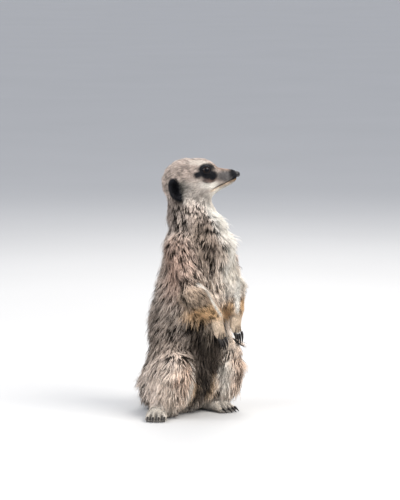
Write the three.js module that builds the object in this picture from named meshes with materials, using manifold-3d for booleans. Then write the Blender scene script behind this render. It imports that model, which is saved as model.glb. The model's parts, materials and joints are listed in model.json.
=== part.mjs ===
// Meerkat sitting upright on its haunches, life size, in millimetres.
// +Z is up. The pelvis faces -Y and the animal's left is +X. The head is turned 45 degrees to its left.
// The origin is at the middle of the underside of the whole body's box, so the floor is Z = 0.
//
// Each part of the body is a field: a function that gives the distance from a point to the part's
// surface, negative inside, joined from ellipsoids and tapered limbs. A loft then finds that surface
// by looking outwards from a line through the middle of the part, ring by ring.

import * as THREE from "three";
import { mergeVertices } from "three/addons/utils/BufferGeometryUtils.js";
import Module from "manifold-3d";

const wasm = await Module();
wasm.setup();

// ---------------------------------------------------------------- driving sizes

const GAP = 0.35; // left all round between two parts that touch
const HEAD_TURN = Math.PI / 4; // to the animal's left
const HEAD_CENTRE = new THREE.Vector3(0, 0, 235); // the middle of the braincase
const NECK_CUT = 196; // height of the cut between trunk and neck
const EYE_RADIUS = 5.4;
const TOE_COUNT = 4;
const CLAW_RINGS = 4;
const CLAW_SIDES = 5;
const LEFT = 1;
const RIGHT = -1;

const v = (x, y, z) => new THREE.Vector3(x, y, z);

// ---------------------------------------------------------------- fields

/** Distance to an ellipsoid with the given radii, turned by a quaternion if there is one. */
function ellipsoid(centre, radii, turn = new THREE.Quaternion()) {
  const back = turn.clone().invert();
  return (p) => {
    const q = p.clone().sub(centre).applyQuaternion(back);
    const k0 = q.clone().divide(radii).length();
    const k1 = q.clone().divide(radii).divide(radii).length();
    return k1 < 1e-9 ? -Math.min(radii.x, radii.y, radii.z) : (k0 * (k0 - 1)) / k1;
  };
}

/** Distance to a limb from a to b whose radius goes evenly from ra to rb. */
function limb(a, b, ra, rb) {
  const along = b.clone().sub(a);
  return (p) => {
    const t = THREE.MathUtils.clamp(p.clone().sub(a).dot(along) / along.lengthSq(), 0, 1);
    return p.distanceTo(a.clone().addScaledVector(along, t)) - THREE.MathUtils.lerp(ra, rb, t);
  };
}

/** Fields joined with a fillet about as wide as the given size. */
function blend(fillet, ...fields) {
  return (p) =>
    fields.reduce((least, field) => {
      const d = field(p);
      const near = Math.max(fillet - Math.abs(least - d), 0) / fillet;
      return Math.min(least, d) - (near * near * fillet) / 4;
    }, 1e4);
}

/** The field of the same part, grown on every side. */
const grown = (field, by) => (p) => field(p) - by;

// ---------------------------------------------------------------- solids

/** How far a field's surface is from a point inside it, in one direction. */
function reach(field, from, direction) {
  const p = from.clone();
  let far = 0;
  for (let step = 0; step < 90; step++) {
    const d = field(p);
    if (d > -0.005) break;
    far -= d * 0.85;
    p.copy(from).addScaledVector(direction, far);
  }
  return Math.max(far, 0.15);
}

/** A closed mesh from rings of points, with a point in front of the first ring and one behind the last. */
function closedMesh(rings, first, last) {
  const sides = rings[0].length;
  const points = [...rings.flat(), first, last];
  const faces = [];
  for (let i = 0; i + 1 < rings.length; i++)
    for (let j = 0; j < sides; j++) {
      const a = i * sides + j;
      const b = i * sides + ((j + 1) % sides);
      faces.push(a, b, b + sides, a, b + sides, a + sides);
    }
  const end = (rings.length - 1) * sides;
  for (let j = 0; j < sides; j++) {
    faces.push(points.length - 2, (j + 1) % sides, j);
    faces.push(points.length - 1, end + j, end + ((j + 1) % sides));
  }
  const geometry = new THREE.BufferGeometry();
  geometry.setAttribute("position", new THREE.Float32BufferAttribute(points.flatMap((p) => p.toArray()), 3));
  geometry.setIndex(faces);
  return geometry;
}

/**
 * The surface of a field as a closed mesh of rings square to a line through the part.
 * An end is either flat, where the part is cut off there, or round, where the surface closes by itself.
 * Level rings lie flat whichever way the line leans.
 */
function loft(field, line, options) {
  const { rings, sides, capRings = 3, floor = -1e4 } = options;
  const { level = false, startFlat = false, endFlat = false } = options;
  const bent = line.length > 2;
  const curve = bent ? new THREE.CatmullRomCurve3(line, false, "centripetal") : new THREE.LineCurve3(...line);
  const whole = line.at(-1).clone().sub(line[0]).normalize();
  const aside = Math.abs(whole.z) > 0.8 ? v(0, -1, 0) : v(0, 0, 1);
  const made = [];
  const ringAt = (t, lean) => {
    const centre = curve.getPointAt(t);
    const ahead = level ? v(0, 0, 1) : curve.getTangentAt(t);
    const up = aside.clone().addScaledVector(ahead, -aside.dot(ahead)).normalize();
    const across = ahead.clone().cross(up);
    const tip = ahead.clone().multiplyScalar(Math.sin(lean));
    return Array.from({ length: sides }, (_, j) => {
      const turn = (2 * Math.PI * j) / sides;
      const out = up.clone().multiplyScalar(Math.cos(turn)).addScaledVector(across, Math.sin(turn));
      const direction = out.multiplyScalar(Math.cos(lean)).add(tip).normalize();
      const p = centre.clone().addScaledVector(direction, reach(field, centre, direction));
      p.z = Math.max(p.z, floor);
      return p;
    });
  };
  const quarter = Math.PI / 2;
  if (!startFlat) for (let i = capRings; i > 0; i--) made.push(ringAt(0, (-i * quarter) / (capRings + 1)));
  for (let i = 0; i < rings; i++) made.push(ringAt(i / (rings - 1), 0));
  if (!endFlat) for (let i = 1; i <= capRings; i++) made.push(ringAt(1, (i * quarter) / (capRings + 1)));
  const closing = (t, sign, flat) => {
    const centre = curve.getPointAt(t);
    const ahead = curve.getTangentAt(t).multiplyScalar(sign);
    const p = flat ? centre : centre.addScaledVector(ahead, reach(field, centre, ahead));
    p.z = Math.max(p.z, floor);
    return p;
  };
  return closedMesh(made, closing(0, -1, startFlat), closing(1, 1, endFlat));
}

/** A manifold solid of a closed three.js mesh. */
function solidOf(geometry) {
  const bare = new THREE.BufferGeometry();
  bare.setAttribute("position", geometry.getAttribute("position"));
  bare.setIndex(geometry.index);
  const merged = mergeVertices(bare, 1e-4);
  const mesh = {
    numProp: 3,
    vertProperties: merged.attributes.position.array,
    triVerts: new Uint32Array(merged.index.array),
  };
  const solid = new wasm.Manifold(new wasm.Mesh(mesh));
  if (solid.volume() > 0) return solid;
  for (let i = 0; i < mesh.triVerts.length; i += 3)
    [mesh.triVerts[i], mesh.triVerts[i + 1]] = [mesh.triVerts[i + 1], mesh.triVerts[i]];
  return new wasm.Manifold(new wasm.Mesh(mesh));
}

/** The three.js mesh of a solid's largest piece. */
function geometryOf(solid) {
  const largest = solid.decompose().reduce((a, b) => (a.volume() > b.volume() ? a : b));
  const { vertProperties, triVerts } = largest.getMesh();
  const geometry = new THREE.BufferGeometry();
  geometry.setAttribute("position", new THREE.Float32BufferAttribute(vertProperties, 3));
  geometry.setIndex(Array.from(triVerts));
  return geometry;
}

/** A part: its solid, and the slightly larger one that is cut out of whatever it touches. */
function part(field, line, options) {
  return {
    solid: solidOf(loft(field, line, options)),
    room: solidOf(loft(grown(field, GAP), line, { ...options, floor: -1e4 })),
  };
}

const without = (solid, ...parts) => parts.reduce((left, p) => left.subtract(p.room), solid);

// ---------------------------------------------------------------- trunk and neck

const trunkField = blend(
  16,
  ellipsoid(v(-2, 22, 27), v(38, 36, 37)), // rump
  ellipsoid(v(-7, -8, 34), v(22, 24, 25)), // groin, between the knees
  ellipsoid(v(-1, 4, 86), v(40, 40, 48)), // belly
  ellipsoid(v(6, -16, 97), v(26, 26.5, 25)), // belly's bulge between the wrists
  ellipsoid(v(0, -3, 128), v(36, 37, 40)), // ribs
  ellipsoid(v(0, -11, 168), v(32, 36, 32)), // chest
  ellipsoid(v(3, -29, 178), v(18.5, 18.5, 22)), // ruff on the breast
  limb(v(0, -4, 192), v(-1, 2, 228), 25, 23), // neck
);

const backbone = [v(-2, 14, 0), v(-2, 13, 36), v(-1, 4, 86), v(0, -4, 130), v(0, -8, 168)];
const trunkLine = [...backbone, v(0, -6, NECK_CUT)];
const trunkWhole = solidOf(
  loft(trunkField, trunkLine, {
    rings: 13,
    sides: 17,
    level: true,
    startFlat: true,
    endFlat: true,
    floor: 0,
  }),
);

const neckWhole = solidOf(
  loft(trunkField, [v(0, -6, NECK_CUT + GAP), v(0, -2, 212), v(-1, 0, 226)], {
    rings: 3,
    sides: 16,
    level: true,
    startFlat: true,
    capRings: 2,
  }),
);

// ---------------------------------------------------------------- head

const headTurn = new THREE.Quaternion().setFromAxisAngle(v(0, 0, 1), HEAD_TURN);

/** A place on the head: forwards to the nose, to its left, and up, from the middle of the braincase. */
const onHead = (ahead, left, up) => v(left, -ahead, up).applyQuaternion(headTurn).add(HEAD_CENTRE);
const headLump = (ahead, left, up, long, wide, high) =>
  ellipsoid(onHead(ahead, left, up), v(wide, long, high), headTurn);

/** The same lump on both sides of the head. */
const bothSides = (ahead, left, up, long, wide, high) =>
  [LEFT, RIGHT].map((side) => headLump(ahead, side * left, up, long, wide, high));

const headField = blend(
  6,
  headLump(-3, 0, 1, 25.8, 22.8, 24.6), // braincase
  headLump(12, 0, 9, 15, 15.5, 16.2), // forehead
  ...bothSides(8, 10.5, -7, 17, 12, 14), // cheeks
  ...bothSides(17, 10.3, 18.2, 8.5, 5.2, 4.6), // brows
  limb(onHead(18, 0, 4.8), onHead(43, 0, 8.8), 12.6, 6.2), // muzzle
  limb(onHead(14, 0, -6), onHead(41, 0, 4), 10, 4.6), // lower jaw
  ...bothSides(33, 4.6, 3.6, 8, 4.4, 5), // whisker pads
);

const headPart = part(headField, [onHead(-12, 0, 0), onHead(12, 0, 3), onHead(42, 0, 7.2)], {
  rings: 10,
  sides: 18,
  capRings: 2,
});

const nosePart = part(
  blend(1.5, headLump(47.2, 0, 9.6, 4.3, 4.7, 3.8), ...bothSides(48.2, 2.3, 9.2, 2.6, 2.6, 2.6)),
  [onHead(45.7, 0, 9.6), onHead(48.7, 0, 9.6)],
  { rings: 2, sides: 9, capRings: 1 },
);

/** One eyeball, flush with the brow and the cheek. */
function eye(side) {
  const middle = (left) => onHead(15.6, side * left, 14.2);
  const ball = ellipsoid(middle(11.9), v(EYE_RADIUS, EYE_RADIUS, EYE_RADIUS));
  return part(ball, [middle(11.4), middle(12.4)], {
    rings: 2,
    sides: 10,
    capRings: 2,
  });
}
const eyes = { left: eye(LEFT), right: eye(RIGHT) };

/** The wedge of the head in front of the jaw's angle and under the line of the mouth. */
function jawWedge(inset) {
  const outline = new THREE.Shape([
    new THREE.Vector2(60, 8.6 - inset), // in front of the lips
    new THREE.Vector2(24 + inset, -3.2 - inset), // corner of the mouth
    new THREE.Vector2(10 + inset, -14 - inset),
    new THREE.Vector2(10 + inset, -40),
    new THREE.Vector2(60, -40),
  ]);
  const wedge = new THREE.ExtrudeGeometry(outline, { depth: 80, bevelEnabled: false });
  const ahead = onHead(1, 0, 0).sub(HEAD_CENTRE);
  const left = onHead(0, 1, 0).sub(HEAD_CENTRE);
  const basis = new THREE.Matrix4().makeBasis(ahead, v(0, 0, 1), left);
  wedge.translate(0, 0, -40).applyMatrix4(basis).translate(...HEAD_CENTRE.toArray());
  return solidOf(wedge);
}

/** An ear: a low half-moon cup against the side of the head, open to the side. */
function ear(side) {
  const lean = headTurn.clone().multiply(new THREE.Quaternion().setFromAxisAngle(v(1, 0, 0), -0.35));
  const flare = lean.multiply(new THREE.Quaternion().setFromAxisAngle(v(0, 0, 1), side * 0.28));
  const centre = onHead(-14, side * 20, -4.4);
  const upright = (middle) => [middle.clone().add(v(0, 0, -3)), middle.clone().add(v(0, 0, 3))];
  const bowl = part(ellipsoid(centre, v(4.6, 7.6, 12.6), flare), upright(centre), {
    rings: 2,
    sides: 10,
    capRings: 2,
  });
  const hollowCentre = centre.clone().add(v(side * 2.9, -0.6, 0.8).applyQuaternion(flare));
  const hollow = solidOf(
    loft(ellipsoid(hollowCentre, v(4.2, 5.7, 10.6), flare), upright(hollowCentre), {
      rings: 2,
      sides: 8,
      capRings: 1,
    }),
  );
  return { solid: bowl.solid.subtract(hollow), room: bowl.room };
}
const ears = { left: ear(LEFT), right: ear(RIGHT) };

const headCut = without(headPart.solid, nosePart, eyes.left, eyes.right, ears.left, ears.right);

// ---------------------------------------------------------------- digits and claws

/** A claw: a cone along an arc, so that its point curves down. */
function claw(root, tip, bow, radius) {
  const middle = root.clone().lerp(tip, 0.5).add(bow);
  const arc = new THREE.QuadraticBezierCurve3(root, middle, tip);
  const rings = Array.from({ length: CLAW_RINGS }, (_, i) => {
    const t = i / (CLAW_RINGS - 1);
    const centre = arc.getPoint(t);
    const ahead = arc.getTangent(t);
    const across = ahead.clone().cross(bow).normalize();
    const up = ahead.clone().cross(across);
    const thick = THREE.MathUtils.lerp(radius, 0.3, Math.pow(t, 1.15));
    return Array.from({ length: CLAW_SIDES }, (_, j) => {
      const turn = (2 * Math.PI * j) / CLAW_SIDES;
      const p = centre.clone().addScaledVector(across, 0.8 * thick * Math.cos(turn));
      return p.addScaledVector(up, thick * Math.sin(turn));
    });
  });
  return solidOf(closedMesh(rings, root, tip));
}

/** A paw: its body, its toes joined to it, and its claws as solids of their own. */
function paw(bodyField, bodyLine, bodyOptions, toes) {
  const body = part(bodyField, bodyLine, bodyOptions);
  const claws = toes.map((toe) => claw(toe.clawRoot, toe.clawTip, toe.bow, toe.clawRadius));
  for (const toe of toes) {
    const bone = part(limb(toe.root, toe.tip, toe.rootRadius, toe.tipRadius), [toe.root, toe.tip], {
      rings: 2,
      sides: 6,
      capRings: 1,
      floor: bodyOptions.floor,
    });
    body.solid = body.solid.add(bone.solid);
    body.room = body.room.add(bone.room);
  }
  const clawRoom = toes.map((toe) => claw(toe.clawRoot, toe.clawTip, toe.bow, toe.clawRadius + GAP));
  body.solid = clawRoom.reduce((left, c) => left.subtract(c), body.solid);
  return { ...body, claws };
}

/** A hind foot flat on the floor, from the ground point of its heel, pointing by its splay. */
function foot(heel, splay) {
  const turn = new THREE.Quaternion().setFromAxisAngle(v(0, 0, 1), splay);
  const onFoot = (ahead, left, up) => v(left, -ahead, up).applyQuaternion(turn).add(heel);
  const lump = (ahead, up, long, wide, high) => ellipsoid(onFoot(ahead, 0, up), v(wide, long, high), turn);
  const field = blend(
    6,
    lump(8, 8, 12, 8, 8.6), // heel
    lump(25, 7, 22, 8.2, 7.2), // instep
    lump(42, 6, 12.5, 10.4, 6.6), // ball
  );
  const toes = Array.from({ length: TOE_COUNT }, (_, i) => {
    const place = i - (TOE_COUNT - 1) / 2;
    const tip = 56.5 - 1.1 * place * place;
    const clawRoot = onFoot(tip + 0.5, place * 5.6, 4.6);
    return {
      root: onFoot(43, place * 4.7, 5.6),
      tip: onFoot(tip, place * 5.5, 3.1),
      rootRadius: 4.2,
      tipRadius: 3.3,
      clawRoot,
      clawTip: onFoot(tip + 7, place * 5.8, 0.9),
      bow: v(0, 0, 1.6),
      clawRadius: 1.6,
    };
  });
  const bodyOptions = { rings: 3, sides: 9, capRings: 2, floor: 0 };
  return paw(field, [onFoot(7, 0, 7), onFoot(42, 0, 6)], bodyOptions, toes);
}
const feet = { left: foot(v(23, 21, 0), -0.02), right: foot(v(-28, 16, 0), -0.84) };

/** A hand that hangs from its wrist by way of the knuckles, with the claws curving forwards and down. */
function hand(wrist, toKnuckles, toClawTip) {
  const knuckles = wrist.clone().add(toKnuckles);
  const field = blend(3, limb(wrist, knuckles, 7.2, 5.4), ellipsoid(knuckles, v(6.6, 5.2, 5.6)));
  const toes = Array.from({ length: TOE_COUNT }, (_, i) => {
    const place = i - (TOE_COUNT - 1) / 2;
    const tip = knuckles.clone().add(v(place * 3.4, -3.2, -8.6 + 0.9 * place * place));
    return {
      root: knuckles.clone().add(v(place * 3.1, -0.6, -1.5)),
      tip,
      rootRadius: 2.7,
      tipRadius: 2.3,
      clawRoot: tip.clone().add(v(0, -0.9, -1)),
      clawTip: tip.clone().add(toClawTip).add(v(place * -0.5, 0, 0)),
      bow: v(0, -2.4, 1.2),
      clawRadius: 1.9,
    };
  });
  const bodyOptions = { rings: 2, sides: 8, startFlat: true, capRings: 2, floor: 0 };
  return paw(field, [wrist.clone().add(v(0, 0, -1)), knuckles], bodyOptions, toes);
}

// ---------------------------------------------------------------- forelegs

/** A foreleg, from the shoulder down to the hand that hangs in front of the belly. */
function foreleg(side, elbow, wrist, hangs) {
  const shoulder = v(side * 24, -15, 171);
  const shoulderBlade = ellipsoid(v(side * 23, -10, 166), v(13.5, 19, 25));
  const upperField = blend(8, limb(shoulder, elbow, 17, 12), shoulderBlade);
  const upper = part(upperField, [shoulder, elbow], { rings: 4, sides: 10, capRings: 2 });
  const lower = part(limb(elbow, wrist, 14.4, 8), [elbow, wrist], { rings: 3, sides: 10, capRings: 2 });
  return { upper, lower, hand: hangs };
}
const wrists = { left: v(12, -55, 107), right: v(-11, -48, 104) };
const hands = {
  left: hand(wrists.left, v(-4, -1.5, -12), v(-0.5, -3, -12)),
  right: hand(wrists.right, v(-1.5, -5.4, -13), v(0.5, -5, -11)),
};
const forelegs = {
  left: foreleg(LEFT, v(29, -32, 129), wrists.left, hands.left),
  right: foreleg(RIGHT, v(-33, -37, 128), wrists.right, hands.right),
};

// ---------------------------------------------------------------- hind legs

/** A hind leg: the haunch that holds the thigh, and the shank with its long hair in front of it. */
function hindleg(hip, knee, ankle) {
  const middle = hip.clone().lerp(knee, 0.5);
  const out = Math.atan2(knee.x - hip.x, -(knee.y - hip.y));
  const turn = new THREE.Quaternion().setFromAxisAngle(v(0, 0, 1), out);
  const haunch = ellipsoid(v(middle.x, middle.y, 40), v(18.5, 37.5, 33), turn);
  const thighField = blend(10, haunch, limb(hip, knee, 20, 14.5));
  const thigh = part(thighField, [hip.clone().setZ(44), knee.clone().setZ(52)], {
    rings: 5,
    sides: 12,
    capRings: 2,
    floor: 2.5,
  });
  const calf = knee.clone().lerp(ankle, 0.45).setZ(28);
  const shankField = blend(8, limb(knee.clone().setZ(48), calf, 16, 17), limb(calf, ankle, 17, 14.5));
  const shank = part(shankField, [knee.clone().setZ(47), ankle.clone().setZ(19)], {
    rings: 3,
    sides: 10,
    capRings: 2,
    floor: 2.5,
  });
  return { thigh, shank };
}
const hindlegs = {
  left: hindleg(v(20, 20, 48), v(31, -28, 70), v(27, -10, 16)),
  right: hindleg(v(-21, 20, 48), v(-44, -27, 60), v(-37, -6, 15)),
};

// ---------------------------------------------------------------- tail

const tailLine = new THREE.CatmullRomCurve3(
  [
    v(-1, 44, 13),
    v(10, 62, 9.6),
    v(30, 83, 8.4),
    v(57, 105, 7.4),
    v(88, 126, 6.4),
    v(120, 146, 5.4),
    v(147, 159, 4.4),
  ],
  false,
  "centripetal",
);
const tailRadius = (t) => THREE.MathUtils.lerp(11.5, 4.6, Math.pow(t, 0.85)) + 3 * Math.pow(1 - t, 8);

/** One length of the tail, between two shares of its line, lying on the floor with a narrow flat. */
function tailLength(from, to, rings, roundEnd) {
  const sides = 10;
  const made = Array.from({ length: rings }, (_, i) => {
    const t = THREE.MathUtils.lerp(from, to, i / (rings - 1));
    const centre = tailLine.getPointAt(t);
    const ahead = tailLine.getTangentAt(t);
    const across = v(-ahead.y, ahead.x, 0).normalize();
    const up = ahead.clone().cross(across);
    const closing = roundEnd ? Math.sqrt(Math.max(1 - Math.pow(Math.max((t - 0.9) / 0.1, 0), 2), 0.04)) : 1;
    const radius = tailRadius(t) * closing;
    return Array.from({ length: sides }, (_, j) => {
      const turn = (2 * Math.PI * (j + 0.5)) / sides;
      const p = centre.clone().addScaledVector(across, radius * Math.sin(turn));
      p.addScaledVector(up, radius * Math.cos(turn));
      p.z = Math.max(p.z, 0);
      return p;
    });
  });
  const centreOf = (ring) => ring.reduce((sum, p) => sum.add(p), v(0, 0, 0)).divideScalar(ring.length);
  return solidOf(closedMesh(made, centreOf(made[0]), centreOf(made.at(-1))));
}
const tailBreaks = [0, 0.36, 0.7, 1];
const tailGap = GAP / 200; // the share of the line that a gap takes

// ---------------------------------------------------------------- the whole animal

const trunkCut = without(
  trunkWhole,
  ...Object.values(forelegs).flatMap((leg) => [leg.upper, leg.lower, leg.hand]),
  ...Object.values(hindlegs).flatMap((leg) => [leg.thigh, leg.shank]),
  ...Object.values(feet),
);

const fur = { grizzled: 0x9a8c80, pale: 0xcac0b4, sand: 0xa58e70, dark: 0x17130f, mask: 0x1d1a1c };
const materials = {
  body: new THREE.MeshStandardMaterial({ color: fur.grizzled, roughness: 0.9, metalness: 0 }),
  face: new THREE.MeshStandardMaterial({ color: fur.pale, roughness: 0.85, metalness: 0 }),
  paw: new THREE.MeshStandardMaterial({ color: fur.sand, roughness: 0.85, metalness: 0 }),
  ear: new THREE.MeshStandardMaterial({ color: fur.mask, roughness: 0.8, metalness: 0 }),
  horn: new THREE.MeshStandardMaterial({ color: fur.dark, roughness: 0.4, metalness: 0 }),
  eye: new THREE.MeshStandardMaterial({ color: 0x0d0806, roughness: 0.08, metalness: 0 }),
};

const meerkat = new THREE.Group();

/** Adds one named node to the animal. */
function add(name, solid, material) {
  const mesh = new THREE.Mesh(geometryOf(solid), material);
  mesh.name = name;
  meerkat.add(mesh);
}

add("trunk", trunkCut, materials.body);
const neckMeets = [headPart, ears.left, ears.right, forelegs.left.upper, forelegs.right.upper];
add("neck", without(neckWhole, ...neckMeets), materials.body);
add("head", headCut.subtract(jawWedge(0)), materials.face);
add("jaw", headCut.intersect(jawWedge(GAP)), materials.face);
add("nose", nosePart.solid, materials.horn);
for (const side of ["left", "right"]) {
  const front = forelegs[side];
  const hind = hindlegs[side];
  add(`eye_${side}`, eyes[side].solid, materials.eye);
  add(`ear_${side}`, ears[side].solid, materials.ear);
  add(`upper_arm_${side}`, without(front.upper.solid, front.lower), materials.body);
  add(`forearm_${side}`, without(front.lower.solid, front.hand), materials.paw);
  add(`hand_${side}`, front.hand.solid, materials.paw);
  front.hand.claws.forEach((c, i) => add(`claw_hand_${side}_${i + 1}`, c, materials.horn));
  add(`thigh_${side}`, without(hind.thigh.solid, hind.shank, feet[side]), materials.body);
  add(`shank_${side}`, without(hind.shank.solid, feet[side]), materials.body);
  add(`foot_${side}`, feet[side].solid, materials.paw);
  feet[side].claws.forEach((c, i) => add(`claw_foot_${side}_${i + 1}`, c, materials.horn));
}
["base", "middle", "tip"].forEach((name, i) => {
  const from = tailBreaks[i] + (i > 0 ? tailGap : 0);
  const length = tailLength(from, tailBreaks[i + 1], i === 2 ? 7 : 6, i === 2);
  const material = i === 2 ? materials.horn : materials.body;
  add(`tail_${name}`, i === 0 ? length.subtract(trunkWhole) : length, material);
});

const box = new THREE.Box3().setFromObject(meerkat);
meerkat.position.set(-(box.min.x + box.max.x) / 2, -(box.min.y + box.max.y) / 2, -box.min.z);

export default meerkat;
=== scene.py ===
"""A meerkat sitting upright on its haunches, life size: skin, coat, eyes, nose and claws over the frame.

The frame's solids reach out to the tips of the coat. One closed skin replaces the solids of flesh and
lies inside them by the coat's depth. Locks of fur stand on the skin and reach back out to the solids'
outline. Sizes in the classes are in millimetres unless they say otherwise; meshes are in metres.
"""

import json
import logging
import math
from collections.abc import Callable
from dataclasses import dataclass, field
from enum import Enum

import bmesh
import bpy
import numpy as np
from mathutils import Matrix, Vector
from mathutils.bvhtree import BVHTree

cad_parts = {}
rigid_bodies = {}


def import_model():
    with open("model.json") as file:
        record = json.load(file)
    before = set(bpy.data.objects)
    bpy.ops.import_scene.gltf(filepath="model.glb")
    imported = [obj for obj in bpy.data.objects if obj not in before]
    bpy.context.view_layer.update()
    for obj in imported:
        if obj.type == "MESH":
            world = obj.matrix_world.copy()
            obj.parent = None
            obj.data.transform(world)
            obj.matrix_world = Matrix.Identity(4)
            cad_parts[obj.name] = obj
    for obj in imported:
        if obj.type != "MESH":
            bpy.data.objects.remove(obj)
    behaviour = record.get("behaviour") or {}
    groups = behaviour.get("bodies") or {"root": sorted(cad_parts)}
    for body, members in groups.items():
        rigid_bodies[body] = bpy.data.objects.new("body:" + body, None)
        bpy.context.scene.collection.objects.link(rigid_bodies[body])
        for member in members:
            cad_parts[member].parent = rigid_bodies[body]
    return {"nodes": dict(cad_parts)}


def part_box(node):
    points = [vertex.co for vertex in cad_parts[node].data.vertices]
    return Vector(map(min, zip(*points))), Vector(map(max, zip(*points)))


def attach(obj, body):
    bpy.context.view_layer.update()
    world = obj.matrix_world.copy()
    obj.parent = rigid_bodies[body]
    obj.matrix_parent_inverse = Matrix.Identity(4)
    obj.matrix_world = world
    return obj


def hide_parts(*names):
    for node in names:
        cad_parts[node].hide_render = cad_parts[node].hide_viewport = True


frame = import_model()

MM = 0.001
WELD = 1e-6
ROOT_BODY = "root"
UP = np.array([0.0, 0.0, 1.0])
Colour = tuple[float, float, float]
log = logging.getLogger("meerkat")
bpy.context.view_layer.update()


class Side(Enum):
    """The animal's own sides, with the sign of X on each."""

    LEFT = 1
    RIGHT = -1

    @property
    def word(self) -> str:
        """The side as it stands in the frame's node names."""
        return self.name.lower()


class Lock(Enum):
    """How many lengths a lock of fur has from root to tip."""

    SHORT = 2
    LONG = 3


# ------------------------------------------------------------------ node trees


@dataclass(frozen=True)
class Wire:
    """The end of a link in a node tree. Its operators add Math nodes."""

    net: "Net"
    socket: bpy.types.NodeSocket

    def _math(self, operation: str, first: object, second: object) -> "Wire":
        """Adds one Math node.

        Args:
            operation: the node's operation.
            first: its first value or link.
            second: its second value or link.

        Returns:
            The node's result.
        """
        return self.net.node("ShaderNodeMath", {"operation": operation}, {0: first, 1: second})

    def __add__(self, other: object) -> "Wire":
        """Self plus other."""
        return self._math("ADD", self, other)

    __radd__ = __add__

    def __mul__(self, other: object) -> "Wire":
        """Self times other."""
        return self._math("MULTIPLY", self, other)

    __rmul__ = __mul__

    def __sub__(self, other: object) -> "Wire":
        """Self less other."""
        return self._math("SUBTRACT", self, other)

    def __rsub__(self, other: object) -> "Wire":
        """Other less self."""
        return self._math("SUBTRACT", other, self)

    def __truediv__(self, other: object) -> "Wire":
        """Self over other."""
        return self._math("DIVIDE", self, other)

    def __rtruediv__(self, other: object) -> "Wire":
        """Other over self."""
        return self._math("DIVIDE", other, self)

    def __pow__(self, other: object) -> "Wire":
        """Self to the power of other."""
        return self._math("POWER", self, other)

    def at_least(self, other: object) -> "Wire":
        """The larger of the two."""
        return self._math("MAXIMUM", self, other)

    def at_most(self, other: object) -> "Wire":
        """The smaller of the two."""
        return self._math("MINIMUM", self, other)

    def step(self, low: float, high: float) -> "Wire":
        """Goes smoothly from nought at low to one at high."""
        settings = {"interpolation_type": "SMOOTHSTEP"}
        return self.net.node("ShaderNodeMapRange", settings, {0: self, 1: low, 2: high, 3: 0.0, 4: 1.0})


class Net:
    """A node tree that is filled by calls."""

    def __init__(self, tree: bpy.types.NodeTree) -> None:
        """Takes an empty tree."""
        self.tree = tree

    def node(
        self, kind: str, settings: dict | None = None, values: dict | None = None, output: object = 0
    ) -> Wire:
        """Adds one node.

        Args:
            kind: the node's type.
            settings: its properties, which are set first.
            values: its sockets by name or number, each with a value or a Wire.
            output: the name or number of the output that is wanted.

        Returns:
            That output.
        """
        made = self.tree.nodes.new(kind)
        for key, value in (settings or {}).items():
            setattr(made, key, value)
        for key, value in (values or {}).items():
            socket = made.inputs[key]
            if isinstance(value, Wire):
                self.tree.links.new(value.socket, socket)
            else:
                socket.default_value = value
        shown = [out for out in made.outputs if out.enabled] if isinstance(output, int) else made.outputs
        return Wire(self, shown[output])

    def vector(self, operation: str, *values: object, scale: object = None) -> Wire:
        """One Vector Math node.

        Args:
            operation: the node's operation.
            values: its vectors.
            scale: its scale, where the operation has one.

        Returns:
            The node's vector, or its number for a dot product or a length.
        """
        sockets = dict(enumerate(values))
        if scale is not None:
            sockets["Scale"] = scale
        output = "Value" if operation in ("DOT_PRODUCT", "LENGTH") else "Vector"
        return self.node("ShaderNodeVectorMath", {"operation": operation}, sockets, output)

    def mix(self, share: object, first: object, second: object, blend: str = "MIX") -> Wire:
        """One Mix node on colours, which goes from first to second."""
        settings = {"data_type": "RGBA", "blend_type": blend}
        return self.node("ShaderNodeMix", settings, {0: share, 6: first, 7: second}, "Result")

    def attribute(self, name: str, output: str = "Fac") -> Wire:
        """An attribute by name, in a material."""
        return self.node("ShaderNodeAttribute", {"attribute_name": name}, output=output)

    def place(self) -> Wire:
        """The Object coordinates, in a material."""
        return self.node("ShaderNodeTexCoord", output="Object")

    def noise(self, place: Wire, scale: float, detail: float, output: object = 0) -> Wire:
        """A noise texture: its number, or its colour by name."""
        values = {"Vector": place, "Scale": scale, "Detail": detail}
        return self.node("ShaderNodeTexNoise", values=values, output=output)

    def bump(self, height: Wire, strength: float, distance: float) -> Wire:
        """The normal that a height bends, over a distance in metres."""
        values = {"Strength": strength, "Distance": distance, "Height": height}
        return self.node("ShaderNodeBump", values=values, output="Normal")

    def combine(self, x: object, y: object, z: object) -> Wire:
        """A vector from three numbers."""
        return self.node("ShaderNodeCombineXYZ", values={"X": x, "Y": y, "Z": z})

    def parts(self, vector: Wire) -> list[Wire]:
        """A vector's three numbers."""
        made = self.node("ShaderNodeSeparateXYZ", values={0: vector}).socket.node
        return [Wire(self, out) for out in made.outputs]

    def read(self, name: str, kind: str = "FLOAT") -> Wire:
        """An attribute by name, in a geometry tree."""
        return self.node("GeometryNodeInputNamedAttribute", {"data_type": kind}, {"Name": name})

    def store(
        self, shape: Wire, name: str, value: object, kind: str = "FLOAT", domain: str = "POINT"
    ) -> Wire:
        """Keeps a value as an attribute, in a geometry tree.

        Args:
            shape: the geometry.
            name: the attribute's name.
            value: the value or link.
            kind: the attribute's data type.
            domain: where it is kept.

        Returns:
            The geometry with the attribute.
        """
        values = {"Geometry": shape, "Name": name, "Value": value}
        return self.node("GeometryNodeStoreNamedAttribute", {"data_type": kind, "domain": domain}, values)


# ------------------------------------------------------------------ places


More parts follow.
